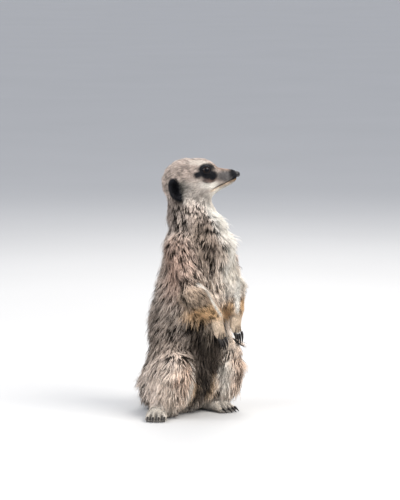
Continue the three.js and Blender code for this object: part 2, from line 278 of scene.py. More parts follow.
@dataclass(frozen=True)
class Places:
    """Landmarks of the animal, worked out from the boxes of the frame's nodes."""

    head_turn: float = math.pi / 4
    eye_ahead: float = 15.6
    eye_up: float = 14.2
    wrist_rise: float = 10.0

    def middle(self, node: str) -> np.ndarray:
        """The middle of a node's box."""
        low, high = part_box(node)
        return np.array((low + high) / 2)

    def each_claw(self, limb: str, side: Side) -> list[np.ndarray]:
        """The middles of a paw's four claws, from its inner side outwards."""
        return [self.middle(f"claw_{limb}_{side.word}_{i}") for i in range(1, 5)]

    def claws(self, limb: str, side: Side) -> np.ndarray:
        """The middle of all four claws of a paw."""
        return np.mean(self.each_claw(limb, side), axis=0)

    def forearm(self, side: Side) -> tuple[np.ndarray, np.ndarray]:
        """A forearm's ends: the elbow and the wrist."""
        wrist = self.middle(f"hand_{side.word}") + self.wrist_rise * MM * UP
        return 2 * self.middle(f"forearm_{side.word}") - wrist, wrist

    @property
    def ahead(self) -> np.ndarray:
        """The way the head faces."""
        return np.array([math.sin(self.head_turn), -math.cos(self.head_turn), 0.0])

    @property
    def left(self) -> np.ndarray:
        """The way to the head's left."""
        return np.array([math.cos(self.head_turn), math.sin(self.head_turn), 0.0])

    @property
    def brain(self) -> np.ndarray:
        """The middle of the braincase."""
        eyes = (self.middle("eye_left") + self.middle("eye_right")) / 2
        return eyes - MM * (self.eye_ahead * self.ahead + self.eye_up * UP)

    def on_head(self, ahead: float, left: float, up: float) -> np.ndarray:
        """A place in the head's own directions, from the middle of the braincase."""
        return self.brain + MM * (ahead * self.ahead + left * self.left + up * UP)

    def in_head(self, points: np.ndarray) -> np.ndarray:
        """Points turned into ahead, left and up of the braincase, in millimetres."""
        axes = np.stack([self.ahead, self.left, UP], axis=1)
        return (points - self.brain) @ axes / MM


# ------------------------------------------------------------------ surface arithmetic


def smoothstep(low: float, high: float, value: np.ndarray) -> np.ndarray:
    """Goes smoothly from nought at low to one at high."""
    share = np.clip((value - low) / (high - low), 0, 1)
    return share * share * (3 - 2 * share)


def unit(vectors: np.ndarray) -> np.ndarray:
    """Vectors at length one."""
    return vectors / np.maximum(np.linalg.norm(vectors, axis=-1, keepdims=True), 1e-12)


def finished(work: bmesh.types.BMesh, name: str) -> bpy.types.Mesh:
    """A plain mesh from a work mesh, which is freed.

    Args:
        work: the work mesh.
        name: the new mesh's name.

    Returns:
        The new mesh.
    """
    mesh = bpy.data.meshes.new(name)
    work.to_mesh(mesh)
    work.free()
    return mesh


def placed(name: str, mesh: bpy.types.Mesh) -> bpy.types.Object:
    """An object at the origin that shows a mesh.

    Args:
        name: the object's name.
        mesh: the mesh that it shows.

    Returns:
        The object, in the scene.
    """
    made = bpy.data.objects.new(name, mesh)
    bpy.context.scene.collection.objects.link(made)
    return made


def evaluated(holder: bpy.types.Object) -> bpy.types.Mesh:
    """The plain mesh that an object's modifiers make."""
    graph = bpy.context.evaluated_depsgraph_get()
    return bpy.data.meshes.new_from_object(holder.evaluated_get(graph))


def shade_smooth(mesh: bpy.types.Mesh) -> None:
    """Shades all faces smooth."""
    mesh.polygons.foreach_set("use_smooth", np.ones(len(mesh.polygons), dtype=bool))


class Surface:
    """A mesh's points, edges and triangles as arrays."""

    def __init__(self, mesh: bpy.types.Mesh) -> None:
        """Reads a mesh.

        Args:
            mesh: the mesh that is read.
        """
        self.points = np.empty((len(mesh.vertices), 3))
        mesh.vertices.foreach_get("co", self.points.ravel())
        self.edges = np.empty((len(mesh.edges), 2), dtype=np.int32)
        mesh.edges.foreach_get("vertices", self.edges.ravel())
        mesh.calc_loop_triangles()
        self.triangles = np.empty((len(mesh.loop_triangles), 3), dtype=np.int32)
        mesh.loop_triangles.foreach_get("vertices", self.triangles.ravel())
        ends = np.concatenate([self.edges[:, 0], self.edges[:, 1]])
        self.counts = np.maximum(np.bincount(ends, minlength=len(self.points)), 1)

    def write(self, mesh: bpy.types.Mesh) -> None:
        """Writes the points back to the mesh."""
        mesh.vertices.foreach_set("co", self.points.ravel())
        mesh.update()

    def normals(self) -> np.ndarray:
        """Outward directions at the points, weighted by the area of the triangles.

        Returns:
            One unit vector for each point.
        """
        a, b, c = (self.points[self.triangles[:, k]] for k in range(3))
        faces = np.cross(b - a, c - a)
        total = np.stack(
            [
                sum(np.bincount(self.triangles[:, k], faces[:, axis], len(self.points)) for k in range(3))
                for axis in range(3)
            ],
            axis=1,
        )
        return unit(total)

    def spread(self, values: np.ndarray) -> np.ndarray:
        """The mean of each point's neighbours, for one number or several at each point.

        Args:
            values: one row for each point.

        Returns:
            The means, in an array of the same shape.
        """
        table = values.reshape(len(self.points), -1)
        first, second = self.edges[:, 0], self.edges[:, 1]
        columns = []
        for column in table.T:
            total = np.bincount(first, column[second], len(self.points))
            total += np.bincount(second, column[first], len(self.points))
            columns.append(total / self.counts)
        return np.stack(columns, axis=1).reshape(values.shape)

    def even(self, values: np.ndarray, rounds: int, share: float | np.ndarray = 0.7) -> np.ndarray:
        """Values smoothed over the surface.

        Args:
            values: one number or several at each point.
            rounds: how often each point moves towards its neighbours.
            share: how far it moves each time.

        Returns:
            The smoothed values.
        """
        for _ in range(rounds):
            values = values + share * (self.spread(values) - values)
        return values

    def relax(self, rounds: int, weight: np.ndarray | float = 1.0) -> None:
        """Smooths the points and gives back the size that smoothing takes.

        Args:
            rounds: pairs of steps in and out.
            weight: how much each point takes part.
        """
        share = np.reshape(weight, (-1, 1)) if isinstance(weight, np.ndarray) else weight
        for _ in range(rounds):
            self.points += 0.55 * share * (self.spread(self.points) - self.points)
            self.points -= 0.53 * share * (self.spread(self.points) - self.points)


# ------------------------------------------------------------------ the coat's plan


@dataclass(frozen=True)
class Pelt:
    """How the coat grows on one part of the body, in millimetres."""

    depth: float
    length: float
    lift: float
    width: float
    colour: Colour


PELTS: dict[str, Pelt] = {
    "trunk": Pelt(5.8, 14.5, 0.34, 0.38, (0.158, 0.128, 0.104)),
    "neck": Pelt(2.4, 7.6, 0.28, 0.22, (0.195, 0.158, 0.132)),
    "head": Pelt(0.9, 4.2, 0.24, 0.18, (0.365, 0.300, 0.257)),
    "jaw": Pelt(0.6, 3.0, 0.22, 0.17, (0.520, 0.480, 0.430)),
    "nose": Pelt(0.5, 1.2, 0.10, 0.14, (0.012, 0.012, 0.013)),
    "eye": Pelt(0.2, 1.5, 0.14, 0.14, (0.012, 0.012, 0.014)),
    "ear": Pelt(0.2, 2.2, 0.26, 0.17, (0.008, 0.007, 0.008)),
    "upper_arm": Pelt(4.4, 12.0, 0.32, 0.36, (0.190, 0.148, 0.120)),
    "forearm": Pelt(1.7, 5.0, 0.24, 0.21, (0.175, 0.130, 0.092)),
    "hand": Pelt(0.6, 2.6, 0.20, 0.17, (0.370, 0.295, 0.215)),
    "thigh": Pelt(5.6, 14.0, 0.32, 0.37, (0.350, 0.285, 0.235)),
    "shank": Pelt(4.8, 13.0, 0.32, 0.35, (0.480, 0.390, 0.315)),
    "foot": Pelt(0.6, 2.8, 0.18, 0.19, (0.300, 0.230, 0.150)),
    "tail_base": Pelt(2.4, 8.0, 0.28, 0.30, (0.290, 0.220, 0.160)),
    "tail_middle": Pelt(1.7, 6.4, 0.24, 0.27, (0.270, 0.200, 0.140)),
    "tail_tip": Pelt(1.2, 6.0, 0.20, 0.26, (0.050, 0.040, 0.034)),
}


def family(node: str) -> str:
    """The part of the body that a node belongs to, without its side."""
    return node.removesuffix("_left").removesuffix("_right")


@dataclass(frozen=True)
class Patch:
    """A marking or a patch of painted shade: a soft-edged ellipsoid of one colour."""

    colour: Colour
    centre: np.ndarray
    axes: np.ndarray
    radii: tuple[float, float, float]
    soft: float = 0.5
    strength: float = 1.0

    def cover(self, points: np.ndarray) -> np.ndarray:
        """How much of the marking each point has, from nought to one.

        Args:
            points: places in metres, one to a row.

        Returns:
            One number for each point.
        """
        across = (points - self.centre) @ self.axes.T / MM
        reach = np.linalg.norm(across / np.array(self.radii), axis=1)
        return self.strength * (1 - smoothstep(1 - self.soft, 1 + self.soft, reach))


@dataclass(frozen=True)
class Stripe:
    """A marking: a soft-edged line of one colour between two points."""

    colour: Colour
    start: np.ndarray
    end: np.ndarray
    radius: float
    soft: float = 0.5
    strength: float = 1.0

    def cover(self, points: np.ndarray) -> np.ndarray:
        """How much of the marking each point has, from nought to one.

        Args:
            points: places in metres, one to a row.

        Returns:
            One number for each point.
        """
        run = self.end - self.start
        share = np.clip((points - self.start) @ run / (run @ run), 0, 1)
        away = np.linalg.norm(points - self.start - share[:, None] * run, axis=1) / MM / self.radius
        return self.strength * (1 - smoothstep(1 - self.soft, 1 + self.soft, away))


@dataclass
class Markings:
    """The colours of the coat and some painted shade, the same on the skin and on the fur."""

    places: Places
    cream: Colour = (0.62, 0.57, 0.50)
    white: Colour = (0.70, 0.67, 0.61)
    umber: Colour = (0.048, 0.035, 0.026)
    ochre: Colour = (0.410, 0.260, 0.130)
    soot: Colour = (0.009, 0.009, 0.011)
    slate: Colour = (0.095, 0.089, 0.087)
    tan: Colour = (0.42, 0.27, 0.15)
    buff: Colour = (0.55, 0.44, 0.33)
    bar_pitch: float = 13.0

    def on_head(self) -> list["Patch | Stripe"]:
        """The face's markings, which are the same on both sides.

        Returns:
            The markings, in the order in which they are laid.
        """
        made = []

        def both(
            colour: Colour, place: tuple, radii: tuple, soft: float, strength: float = 1.0, tip: float = 0.0
        ) -> None:
            """Adds a marking on each side of the head, tipped up in front by an angle in degrees.

            Args:
                colour: the marking's colour.
                place: its centre, ahead, out to the side and up from the braincase, in millimetres.
                radii: its half lengths ahead, across and up, in millimetres.
                soft: the share of its reach that its edge takes.
                strength: how fully it covers.
                tip: the angle.
            """
            along, rise = math.cos(math.radians(tip)), math.sin(math.radians(tip))
            ahead = along * self.places.ahead + rise * UP
            axes = np.stack([ahead, self.places.left, along * UP - rise * self.places.ahead])
            for side in Side:
                centre = self.places.on_head(place[0], side.value * place[1], place[2])
                made.append(Patch(colour, centre, axes, radii, soft, strength))

        both((0.46, 0.42, 0.375), (6, 17, -6), (17, 14, 11), 0.5, 0.8)  # cheek
        both(self.white, (19, 13, 0.5), (10, 9, 4.2), 0.5, 0.95)  # stripe from the lip to the cheek
        both(self.cream, (10, 12, 23), (12, 7, 3.4), 0.5, 0.6)  # brow
        both(self.white, (26, 4, -7), (18, 9, 5), 0.5, 0.8)  # chin
        both(self.slate, (37, 5, 7.6), (13, 8, 5.6), 0.4, 0.95)  # side of the muzzle
        both((0.30, 0.22, 0.175), (34, 0, 15.8), (13, 5, 3.6), 0.5, 0.85)  # bridge of the nose
        both((0.34, 0.23, 0.16), (20, 13, 5.2), (6.5, 6, 2.6), 0.5, 0.85)  # tan spot under the eye
        both((0.085, 0.050, 0.042), (19.5, 14, 5.6), (8, 9, 4), 0.3, 0.85)  # brown shadow under the eye
        both(self.soot, (22.4, 13, 9.6), (6, 14, 5.4), 0.14)  # in front of the eye
        both(self.soot, (10.4, 19, 10.6), (6, 12, 4.2), 0.2)  # behind the eye
        both(self.soot, (47, 0, 9), (8, 8, 6.8), 0.3)  # round the nose
        both((0.15, 0.145, 0.125), (-6, 21, -4), (5, 7, 9), 0.6, 0.85)  # grey in front of the ear
        both(self.soot, (17, 16, 13.6), (10.8, 15, 8), 0.12, tip=14)  # round the eye
        both(self.soot, (-14, 22, -4.4), (7.8, 7, 13), 0.12, tip=25)  # ear
        return made

    def on_body(self) -> list["Patch | Stripe"]:
        """The markings of the body and limbs, with patches of painted shade among them.

        Returns:
            The markings, in the order in which they are laid.
        """
        level = np.eye(3)
        at = self.places.middle
        trunk = at("trunk")
        made = []

        def lay(
            colour: Colour, centre: np.ndarray, offset: tuple, radii: tuple, soft: float, strength: float
        ) -> None:
            """Adds a marking or a patch of painted shade at an offset, in millimetres, from a landmark."""
            made.append(Patch(colour, centre + MM * np.array(offset), level, radii, soft, strength))

        lay((0.128, 0.106, 0.088), trunk, (-6, 26, 5), (60, 28, 66), 0.5, 0.75)  # back
        for across in (-34, 36):
            lay((0.165, 0.098, 0.068), trunk, (across, -14, 58), (15, 20, 28), 0.7, 0.75)  # rusty shoulder
            lay((0.120, 0.094, 0.073), trunk, (across, 2, -8), (16, 26, 30), 0.6, 0.7)  # dark flank
        lay((0.34, 0.285, 0.235), trunk, (4, -40, 34), (28, 14, 34), 0.5, 0.85)  # belly between the arms
        lay((0.024, 0.018, 0.013), trunk, (-10, -38, -5), (19, 18, 24), 0.4, 0.95)  # painted shadow on the belly under the arm
        lay(self.umber, trunk, (11, -34, -28), (14, 16, 16), 0.4, 0.8)  # painted shade between the knees
        lay((0.42, 0.36, 0.30), trunk, (24, -30, 0), (15, 16, 26), 0.5, 0.85)  # belly by the far wrist
        lay((0.020, 0.015, 0.011), trunk, (-7, -34, -48), (30, 26, 38), 0.4, 0.95)  # painted shade in the groin
        lay(self.white, trunk, (15, -40, 100), (15.5, 25, 23), 0.35, 1.0)  # throat
        lay(self.white, trunk, (6, -38, 112), (9, 15, 13), 0.35, 1.0)  # throat under the jaw
        lay(self.white, trunk, (19.5, -43, 66), (14.5, 17.5, 32), 0.4, 1.0)  # breast
        lay((0.105, 0.078, 0.058), trunk, (-13, -38, 86), (12, 15, 32), 0.5, 0.9)  # painted shade in the hollow by the throat
        lay(self.cream, trunk, (27, -38, 38), (15, 16, 24), 0.5, 0.7)  # breast by the arm
        lay((0.080, 0.062, 0.050), at("neck"), (-14, 22, 4), (28, 22, 28), 0.5, 0.85)  # nape
        lay((0.120, 0.095, 0.078), at("thigh_right"), (-6, -33, 20), (10, 11, 18), 0.5, 0.85)  # painted shade inside the right knee
        for side in Side:
            out = side.value
            knee = at(f"thigh_{side.word}")
            shin = at(f"shank_{side.word}")
            arm = at(f"forearm_{side.word}")
            elbow, wrist = self.places.forearm(side)
            lay(self.buff, at(f"hand_{side.word}"), (0, -2, 0), (16, 16, 20), 0.5, 0.9)  # pale hand
            lay(self.ochre, arm, (out * -2, -3, -10), (21, 21, 9), 0.45, 0.95)  # under the forearm
            edge = MM * unit(np.array([-0.3 * out, -0.72, 0.7]))
            start = elbow + 0.12 * (wrist - elbow)
            made.append(Stripe(self.white, start + 11 * edge, wrist + 7 * edge, 2.8, 0.4))  # its front edge
            for claw in self.places.each_claw("foot", side):
                lay(self.soot, claw, (0, 0, 0), (5.2, 5.2, 4.2), 0.35, 0.95)  # under the claw
            lay(self.cream, shin, (out * -9, -17, 8), (6.5, 10, 32), 0.5, 0.85)  # front edge of the leg
            lay((0.30, 0.19, 0.125), shin, (out * 2, -19, 12), (6, 10, 26), 0.6, 0.5)  # rusty strip beside it
            lay((0.34, 0.235, 0.140), shin, (out * -20, 0, -8), (8, 20, 22), 0.5, 0.6)  # inside of the leg
            lay(self.cream, at(f"foot_{side.word}"), (0, -6, 0), (30, 30, 14), 0.4, 0.85)  # pale foot
            lay((0.50, 0.41, 0.34), knee, (out * 8, 6, -16), (20, 28, 22), 0.5, 0.8)  # haunch
            lay((0.150, 0.115, 0.088), knee, (out * 4, -6, 26), (24, 26, 18), 0.6, 0.7)  # above the knee
            bend = knee + MM * np.array([out * 22, -35, 8])
            inner = bend + MM * np.array([out * -5, -4, -14])
            made.append(Stripe((0.22, 0.11, 0.062), bend, bend - MM * 34 * UP, 3.0, 0.6, 0.8))  # rusty line
            made.append(Stripe(self.cream, inner, inner - MM * 26 * UP, 3.0, 0.6, 0.85))  # pale line by it
        return made

    def colours(self, skin: "Skin") -> np.ndarray:
        """The colour at each point of the skin.

        Args:
            skin: the finished skin, with the nearest node of each point.

        Returns:
            Red, green and blue at each point.
        """
        points = skin.surface.points
        base = np.array([PELTS[family(name)].colour for name in skin.names])[skin.nearest]
        body = skin.share({"trunk", "neck", "thigh", "shank", "upper_arm"})
        colour = skin.surface.even(skin.surface.even(base, 14), 90, 0.7 * body[:, None])
        behind = (points[:, 1] - self.places.middle("trunk")[1]) / MM
        back = skin.share({"trunk"}) * smoothstep(-8, 12, behind)
        wobble = 2.6 * np.sin(points[:, 0] / MM / 9) + 1.9 * np.sin(points[:, 1] / MM / 6 + 2)
        turns = (points[:, 2] / MM + wobble) / self.bar_pitch
        bars = smoothstep(0.25, 0.95, 0.5 + 0.5 * np.sin(2 * np.pi * turns))
        low = 1 - smoothstep(105, 150, points[:, 2] / MM)
        head = skin.share({"head", "jaw", "nose", "eye", "ear"})
        for patches, share in ((self.on_body(), 1 - head), (self.on_head(), np.ones(len(points)))):
            for patch in patches:
                cover = (patch.cover(points) * share)[:, None]
                colour = colour * (1 - cover) + np.array(patch.colour) * cover
        gap, above = skin.mouth_line()
        lip = (smoothstep(3.2, 1.4, gap) * (above < 0))[:, None] * 0.5
        colour = colour * (1 - lip) + np.array(self.tan) * lip
        # Dark gaps between the toes: partly their dark skin and partly painted shade
        toes = 0.95 * skin.toe_gaps()[:, None]
        colour = colour * (1 - toes) + np.array(self.soot) * toes
        slit = smoothstep(0.7, 0.25, gap)[:, None]
        colour = colour * (1 - slit) + np.array(self.soot) * slit
        fade = (0.8 * back * low * bars)[:, None]
        return colour * (1 - fade) + np.array(self.umber) * fade


# ------------------------------------------------------------------ skin


@dataclass
class Skin:
    """One closed skin over the whole body, inside the solids by the depth of the coat."""

    places: Places
    voxel: float = 1.65
    swell: float = 0.42
    floor_gap: float = 0.4
    elbow_depth: float = 2.2
    eye_radius: float = 5.2
    lid: float = 0.75
    opening: tuple[float, float] = (0.86, 0.62)
    behind_lids: float = 0.82
    lid_reach: float = 2.2
    mouth: tuple[tuple[float, float], ...] = ((48.5, 6.0), (44, 4.6), (38, 2.2), (30, -1.6), (23, -5.0))
    mouth_depth: float = 1.0
    lip_height: float = 0.45
    ear: tuple[float, float] = (-14.0, -4.4)
    ear_size: tuple[float, float] = (6.6, 11.2)
    ear_lean: float = 20.0
    ear_rim: float = 1.1
    ear_bowl: float = 2.3
    toe_length: float = 13.0
    toe_gap: float = 0.8
    toe_depth: float = 1.3
    surface: Surface = field(init=False)
    names: list[str] = field(init=False)
    nearest: np.ndarray = field(init=False)

    def flesh(self) -> list[str]:
        """The nodes that the skin grows over, the eyeballs and the nose among them."""
        return sorted(n for n in frame["nodes"] if not n.startswith("claw_"))

    def joined(self) -> tuple[bpy.types.Mesh, BVHTree, np.ndarray]:
        """The flesh in one mesh, each solid a little swollen so that the gaps between them close.

        Returns:
            The swollen mesh, a tree for the nearest face of the true solids, and each face's node.
        """
        self.names = self.flesh()
        whole = bmesh.new()
        corners: list[Vector] = []
        faces: list[list[int]] = []
        owner: list[int] = []
        for number, name in enumerate(self.names):
            part = bmesh.new()
            part.from_mesh(frame["nodes"][name].data)
            bmesh.ops.remove_doubles(part, verts=part.verts, dist=WELD)
            part.normal_update()
            start = len(corners)
            corners += [v.co.copy() for v in part.verts]
            part.verts.index_update()
            for face in part.faces:
                faces.append([start + v.index for v in face.verts])
                owner.append(number)
            moved = [whole.verts.new(v.co + v.normal * self.swell * MM) for v in part.verts]
            for face in part.faces:
                whole.faces.new([moved[v.index] for v in face.verts])
            part.free()
        return finished(whole, "flesh"), BVHTree.FromPolygons(corners, faces), np.array(owner)

    def remeshed(self, mesh: bpy.types.Mesh) -> bpy.types.Mesh:
        """An even closed mesh over the joined flesh.

        Args:
            mesh: the joined flesh.

        Returns:
            The new mesh.
        """
        holder = placed("flesh", mesh)
        modifier = holder.modifiers.new("even", "REMESH")
        modifier.mode = "VOXEL"
        modifier.voxel_size = self.voxel * MM
        made = evaluated(holder)
        bpy.data.objects.remove(holder)
        return made

    def find_nearest(self, tree: BVHTree, owner: np.ndarray) -> None:
        """Notes the node nearest to each point."""
        found = [tree.find_nearest(Vector(p))[2] for p in self.surface.points]
        self.nearest = owner[np.array(found)]

    def share(self, families: set[str], rounds: int = 6) -> np.ndarray:
        """How far each point belongs to some parts of the body, with soft edges."""
        member = np.array([family(name) in families for name in self.names])[self.nearest]
        return self.surface.even(member.astype(float), rounds)

    def fill_creases(self, rounds: int, weight: np.ndarray) -> None:
        """Raises the points of hollows towards their neighbours, so that forms run into each other.

        Args:
            rounds: how often.
            weight: how far each point takes part.
        """
        surface = self.surface
        for _ in range(rounds):
            normals = surface.normals()
            rise = np.sum((surface.spread(surface.points) - surface.points) * normals, axis=1)
            surface.points += (np.maximum(rise, 0) * weight)[:, None] * normals

    def finer(self, mesh: bpy.types.Mesh, near: Callable[[np.ndarray], np.ndarray]) -> None:
        """Halves the faces whose middles are in some place.

        Args:
            mesh: the mesh to change.
            near: tells which points are in the place.
        """
        work = bmesh.new()
        work.from_mesh(mesh)
        work.faces.ensure_lookup_table()
        middles = np.array([f.calc_center_median() for f in work.faces])
        chosen = [work.faces[i] for i in np.flatnonzero(near(middles))]
        edges = list({e for f in chosen for e in f.edges})
        bmesh.ops.subdivide_edges(work, edges=edges, cuts=1, use_grid_fill=True)
        bmesh.ops.triangulate(work, faces=[f for f in work.faces if len(f.verts) > 4])
        work.to_mesh(mesh)
        work.free()

    def sink(self) -> None:
        """Moves the skin in by the coat's depth, but not up from the floor."""
        depths = np.array([PELTS[family(name)].depth for name in self.names])[self.nearest]
        depth = self.surface.even(depths, 14) + self.swell + self.elbow_depth * self.elbows()
        move = -self.surface.normals() * depth[:, None] * MM
        floor = smoothstep(1.5, 7, self.surface.points[:, 2] / MM)
        move[:, 2] *= floor
        self.surface.points += move
        self.surface.points[:, 2] = np.maximum(self.surface.points[:, 2], self.floor_gap * MM)

    def open_eyes(self) -> None:
        """Wraps the skin round each eyeball as two lids and opens them."""
        points = self.surface.points
        for side in Side:
            eye = self.places.middle(f"eye_{side.word}")
            gaze = Eye.gaze(self.places, side)
            front = unit(self.places.ahead - gaze * (self.places.ahead @ gaze))
            rise = np.cross(gaze, front) * side.value
            rise = rise if rise[2] > 0 else -rise
            arm = points - eye
            away = np.linalg.norm(arm, axis=1) / MM
            way = unit(arm)
            towards, along, high = way @ gaze, way @ front, way @ rise
            near = (away < self.eye_radius * self.lid_reach) & (towards > -0.35)
            corner = np.abs(along / self.opening[0])
            height = np.where(high > 0, high / self.opening[1], high / (self.opening[1] * 0.9))
            outside = np.hypot(corner, height) + 0.16 * corner**3 * np.abs(height)
            outside = np.where(towards > 0, outside, 3.0)
            lid = self.eye_radius + self.lid * (1.0 - 0.35 * smoothstep(1.0, 1.9, outside))
            hold = 1 - smoothstep(1.15, 2.3, outside)
            held = away * (1 - hold) + lid * hold
            target = np.where(away > lid, held, np.maximum(held, lid))
            target = np.where(outside < 1, self.eye_radius * self.behind_lids, target)
            crease = 0.45 * np.exp(-(((outside - 1.62) / 0.13) ** 2)) * (high > 0)
            new = np.where(near, target - np.where(outside > 1, crease, 0), away)
            points[near] = (eye + way * new[:, None] * MM)[near]

    def mouth_line(self) -> tuple[np.ndarray, np.ndarray]:
        """How far each point of the face is from the line of the mouth, and how far above it.

        Returns:
            Both distances in millimetres, one of each for each point.
        """
        ahead, left, up = self.places.in_head(self.surface.points).T
        gap = np.full(len(ahead), 99.0)
        above = np.zeros(len(ahead))
        for (a0, u0), (a1, u1) in zip(self.mouth[:-1], self.mouth[1:]):
            run = np.array([a1 - a0, u1 - u0])
            t = np.clip(((ahead - a0) * run[0] + (up - u0) * run[1]) / (run @ run), 0, 1)
            da, du = ahead - a0 - t * run[0], up - u0 - t * run[1]
            d = np.hypot(da, du)
            above = np.where(d < gap, du, above)
            gap = np.minimum(gap, d)
        on_face = (np.abs(left) < 16) & (ahead > 18)
        return np.where(on_face, gap, 99.0), above

    def fold_face(self) -> None:
        """Presses in the line of the mouth and raises the lip over it."""
        gap, above = self.mouth_line()
        groove = self.mouth_depth * np.exp(-((gap / 0.7) ** 2))
        groove -= self.lip_height * np.exp(-((above - 1.7) ** 2)) * (gap < 5)
        self.surface.points -= self.surface.normals() * groove[:, None] * MM

    def toe_gaps(self) -> np.ndarray:
        """How far each point lies in a gap between two toes, from nought to one.

        Returns:
            One number for each point.
        """
        points = self.surface.points / MM
        found = np.zeros(len(points))
        for limb in ("hand", "foot"):
            for side in Side:
                node = f"{limb}_{side.word}"
                claws = [claw / MM for claw in self.places.each_claw(limb, side)]
                back = unit(self.places.middle(node) / MM - np.mean(claws, axis=0))
                across = claws[3] - claws[0]
                across = unit(across - back * (across @ back))
                own = self.nearest == self.names.index(node)
                wide = self.toe_gap * (2.3 if limb == "foot" else 1.2)
                for first, second in zip(claws[:-1], claws[1:]):
                    arm = points - (first + second) / 2
                    gap = np.exp(-((arm @ across / wide) ** 2))
                    gap *= smoothstep(self.toe_length, self.toe_length * 0.6, arm @ back)
                    found = np.maximum(found, gap * own)
        return found * smoothstep(0.8, 2.4, points[:, 2])

    def elbows(self) -> np.ndarray:
        """How far each point belongs to the elbow end of a forearm, from nought to one.

        Returns:
            One number for each point.
        """
        found = np.zeros(len(self.surface.points))
        for side in Side:
            own = self.nearest == self.names.index(f"forearm_{side.word}")
            elbow, wrist = self.places.forearm(side)
            run = wrist - elbow
            along = (self.surface.points - elbow) @ run / (run @ run)
            found = np.maximum(found, own * smoothstep(0.62, 0.12, along))
        return self.surface.even(found, 12)

    def part_toes(self) -> None:
        """Presses in the gaps between the toes."""
        low = 1 + smoothstep(30, 20, self.surface.points[:, 2] / MM)
        move = 0.85 * self.toe_depth * low * self.toe_gaps()
        self.surface.points -= self.surface.normals() * move[:, None] * MM

    def shape_ears(self) -> None:
        """Hollows the ears in front of a raised rim."""
        normals = self.surface.normals()
        for side in Side:
            ahead, left, up = self.places.in_head(self.surface.points).T
            across, along = ahead - self.ear[0], up - self.ear[1]
            lean = math.radians(self.ear_lean)
            wide = (across * math.cos(lean) + along * math.sin(lean)) / self.ear_size[0]
            high = (along * math.cos(lean) - across * math.sin(lean)) / self.ear_size[1]
            reach = np.hypot(wide, high)
            own = (left * side.value > 15) & (reach < 1.6)
            rim = self.ear_rim * np.exp(-(((reach - 0.86) / 0.17) ** 2)) * smoothstep(0.75, -0.2, wide)
            bowl = self.ear_bowl * smoothstep(0.8, 0.35, reach) * smoothstep(0.9, 0.1, wide)
            move = np.where(own, rim - bowl, 0.0)
            self.surface.points += side.value * move[:, None] * self.places.left * MM
            self.surface.points += (own * rim * 0.3)[:, None] * normals * MM

    def build(self) -> bpy.types.Object:
        """Makes the skin.

        Returns:
            The skin, with its markings and the lie of the coat as attributes.
        """
        joined, tree, owner = self.joined()
        mesh = self.remeshed(joined)
        self.surface = Surface(mesh)
        self.find_nearest(tree, owner)
        self.surface.relax(14)
        body = self.share({"trunk", "thigh", "shank", "upper_arm"})
        self.surface.relax(14, np.maximum(body, self.share({"neck", "forearm"})))
        nape = self.share({"neck", "head"}) * (self.places.in_head(self.surface.points)[:, 0] < -8)
        self.fill_creases(110, np.maximum(body, nape))
        self.sink()
        self.surface.relax(5)
        self.surface.write(mesh)
        eyes = [self.places.middle(f"eye_{side.word}") for side in Side]
        toes = [self.places.claws(limb, side) for limb in ("hand", "foot") for side in Side]

        def near(spots: list[np.ndarray], reach: float) -> Callable[[np.ndarray], np.ndarray]:
            """A test for points within a reach, in millimetres, of any of some spots."""
            return lambda p: np.min([np.linalg.norm(p - spot, axis=1) for spot in spots], axis=0) < reach * MM

        def on_face(p: np.ndarray) -> np.ndarray:
            """True for points on the face, in front of the ears and above the throat."""
            place = self.places.in_head(p)
            return (place[:, 0] > 6) & (place[:, 2] > -22)

        self.finer(mesh, on_face)
        self.finer(mesh, near(eyes, 9.5))
        self.finer(mesh, lambda p: np.linalg.norm(self.places.in_head(p)[:, ::2] - self.ear, axis=1) < 15)
        for reach in (24, 17):
            self.finer(mesh, near(toes, reach))
        self.surface = Surface(mesh)
        self.surface.relax(4, near(eyes, 11)(self.surface.points).astype(float))
        self.open_eyes()
        self.surface.relax(1, near(eyes, 9)(self.surface.points).astype(float) * 0.6)
        self.fold_face()
        self.shape_ears()
        self.find_nearest(tree, owner)
        self.part_toes()
        self.surface.write(mesh)
        mesh.name = "skin"
        self.object = placed("skin", mesh)
        shade_smooth(mesh)
        self.comb()
        return self.object

    def heading(self) -> np.ndarray:
        """The way the hair lies at each point, from the bones under it.

        Returns:
            One vector for each point.
        """
        at = self.places.middle
        ahead = self.places.ahead
        ways = {
            "trunk": np.array([0.0, 0.35, -1.0]),
            "neck": -UP,
            "head": -ahead - 0.45 * UP,
            "jaw": -ahead - 0.3 * UP,
            "nose": -ahead,
        }
        for side in Side:
            word = side.word
            ways[f"ear_{word}"] = 0.8 * ahead - 0.6 * UP
            ways[f"eye_{word}"] = -ahead
            ways[f"upper_arm_{word}"] = at(f"forearm_{word}") - at(f"upper_arm_{word}")
            ways[f"forearm_{word}"] = at(f"hand_{word}") - at(f"forearm_{word}")
            ways[f"hand_{word}"] = self.places.claws("hand", side) - at(f"hand_{word}")
            ways[f"thigh_{word}"] = np.array([side.value * -0.21, 0.56, -1.0])
            ways[f"shank_{word}"] = np.array([side.value * -0.1, 0.25, -1.0])
            ways[f"foot_{word}"] = self.places.claws("foot", side) - at(f"foot_{word}")
        ways["tail_base"] = at("tail_middle") - at("tail_base")
        ways["tail_middle"] = ways["tail_tip"] = at("tail_tip") - at("tail_middle")
        found = unit(np.array([ways[name] for name in self.names]))[self.nearest]
        aside = np.clip((self.surface.points[:, 0] - at("trunk")[0]) / MM / 25, -1, 1)
        found[:, 0] += 0.3 * aside * (self.nearest == self.names.index("trunk"))
        thighs = np.isin(self.nearest, [self.names.index(f"thigh_{side.word}") for side in Side])
        found[:, 1] -= 0.9 * thighs * smoothstep(-0.2, 0.6, self.surface.normals()[:, 2])
        return unit(found)

